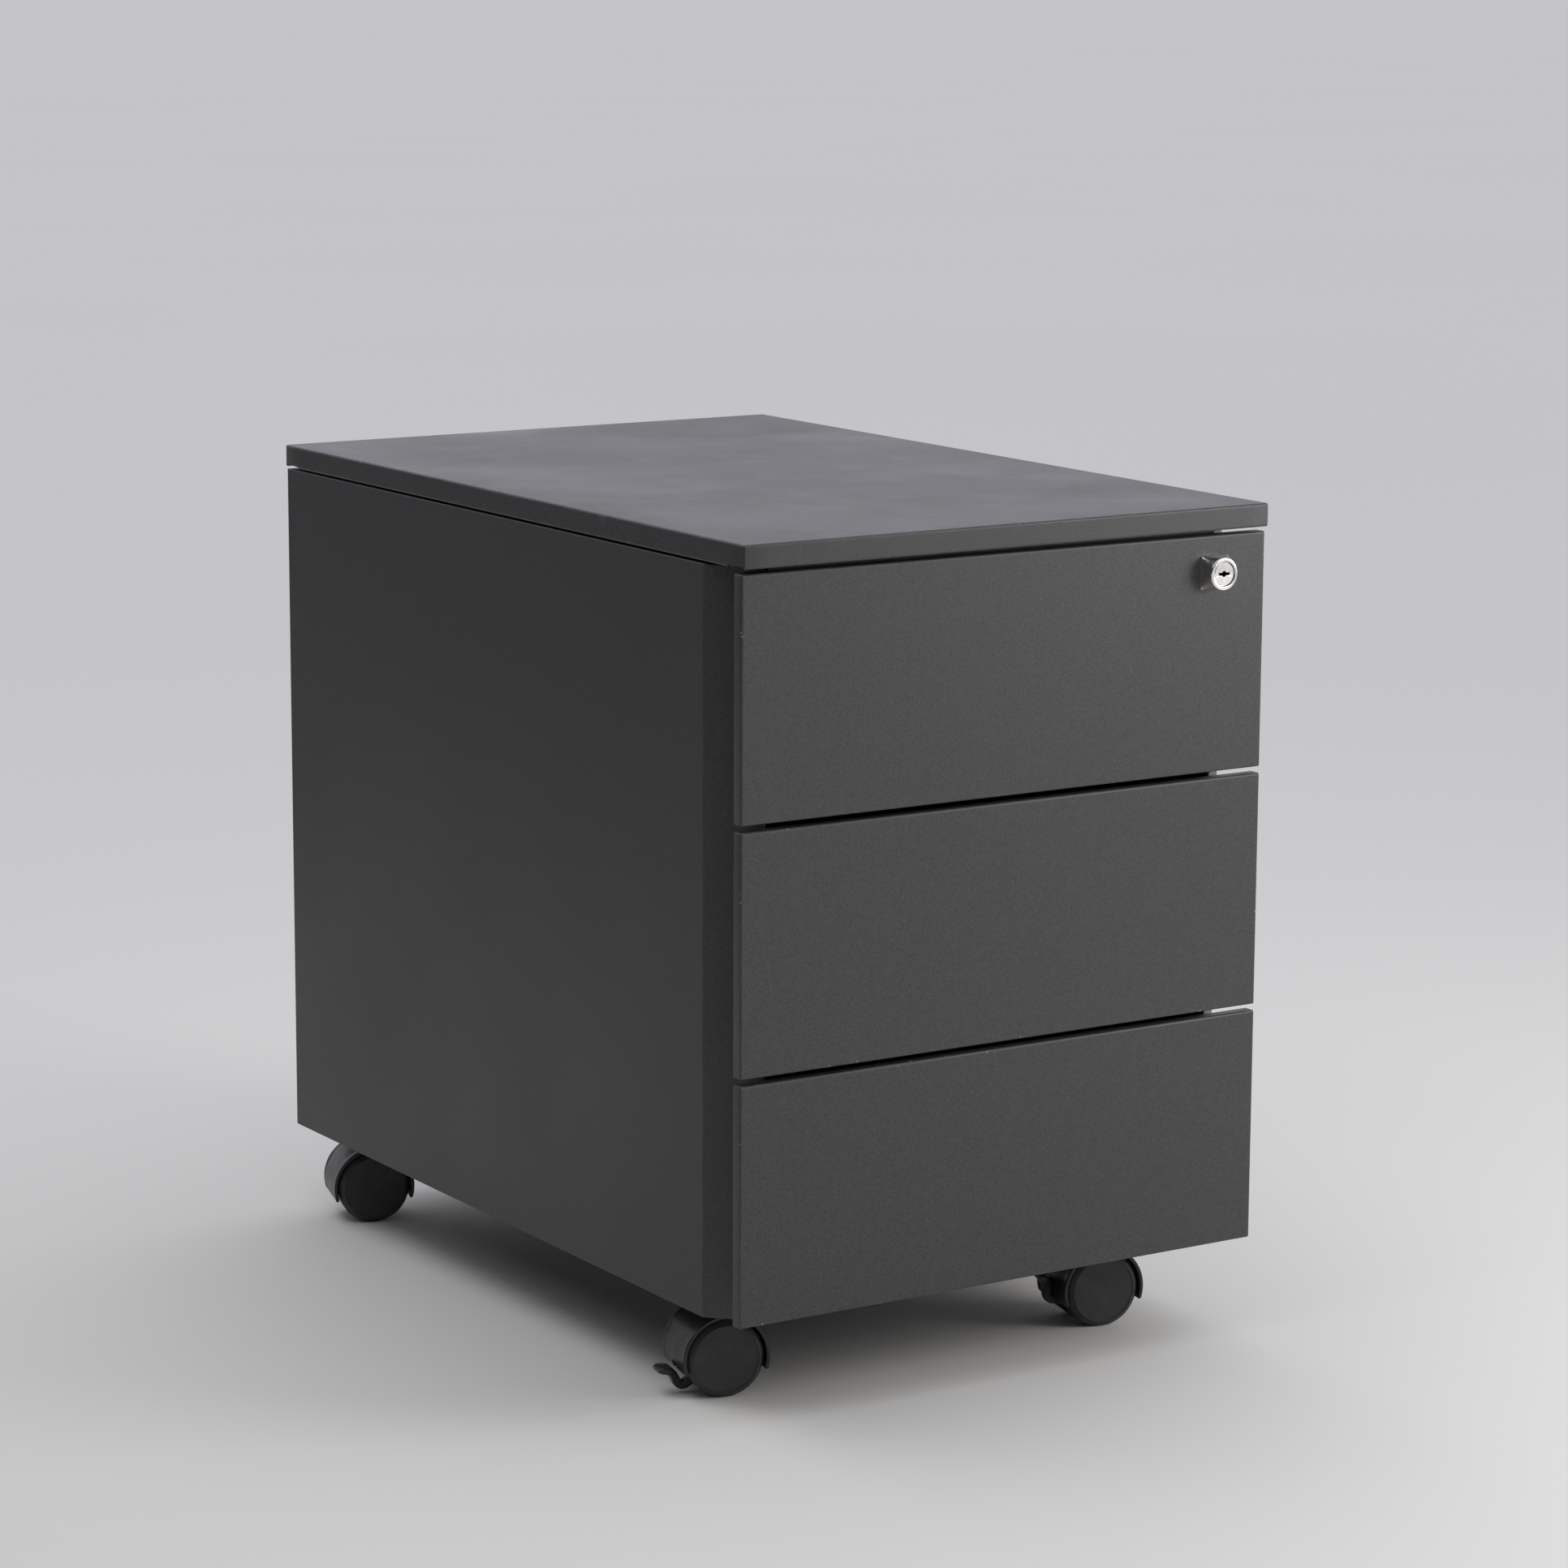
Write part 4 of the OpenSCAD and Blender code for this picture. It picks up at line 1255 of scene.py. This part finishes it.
def make_camera(scene):
    """A long lens at the front left, a little above the top plate."""
    azimuth, elevation, roll = (math.radians(a) for a in (-32.45, 10.60, 0.249))
    distance, right_shift, up_shift = 3.2202, 0.02064, 0.06416
    back = np.array([
        math.sin(azimuth) * math.cos(elevation),
        -math.cos(azimuth) * math.cos(elevation),
        math.sin(elevation),
    ])
    right = np.cross((0, 0, 1), back)
    right /= np.linalg.norm(right)
    up = np.cross(back, right)
    right, up = (
        math.cos(roll) * right + math.sin(roll) * up,
        -math.sin(roll) * right + math.cos(roll) * up,
    )
    place = np.array([0, 0, 0.27]) + back * distance + right * right_shift + up * up_shift
    data = bpy.data.cameras.new("camera")
    data.sensor_width = 36.0
    data.lens = 110.02
    data.clip_end = 400.0
    camera = place_object("camera", data)
    turn = np.eye(4)
    turn[:3, 0], turn[:3, 1], turn[:3, 2], turn[:3, 3] = right, up, back, place
    camera.matrix_world = Matrix(turn.tolist())
    scene.camera = camera


# ---- panel and run -----------------------------------------------------------


class PEDESTAL_PT_build(Panel):
    bl_label = "Pedestal"
    bl_idname = "PEDESTAL_PT_build"
    bl_space_type = "VIEW_3D"
    bl_region_type = "UI"
    bl_category = "Pedestal"

    def draw(self, context):
        for step in STEPS:
            self.layout.operator(step.bl_idname)


STEPS = (
    PEDESTAL_OT_finishes,
    PEDESTAL_OT_hardware,
    PEDESTAL_OT_top,
    PEDESTAL_OT_sides,
    PEDESTAL_OT_drawers,
    PEDESTAL_OT_lock,
    PEDESTAL_OT_castors,
    PEDESTAL_OT_stage,
)
GROUPS = {
    "pedestal_sheet": SheetSizes,
    "pedestal_castors": CastorSizes,
    "pedestal_colours": FinishColours,
}
CLASSES = (*GROUPS.values(), *STEPS, PEDESTAL_PT_build)


def register():
    for cls in CLASSES:
        bpy.utils.register_class(cls)
    for name, group in GROUPS.items():
        setattr(bpy.types.Scene, name, PointerProperty(type=group))


def unregister():
    for name in GROUPS:
        delattr(bpy.types.Scene, name)
    for cls in reversed(CLASSES):
        bpy.utils.unregister_class(cls)


def main():
    """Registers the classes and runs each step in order."""
    register()
    for step in STEPS:
        group, call = step.bl_idname.split(".")
        getattr(getattr(bpy.ops, group), call)()


if __name__ == "__main__":
    main()
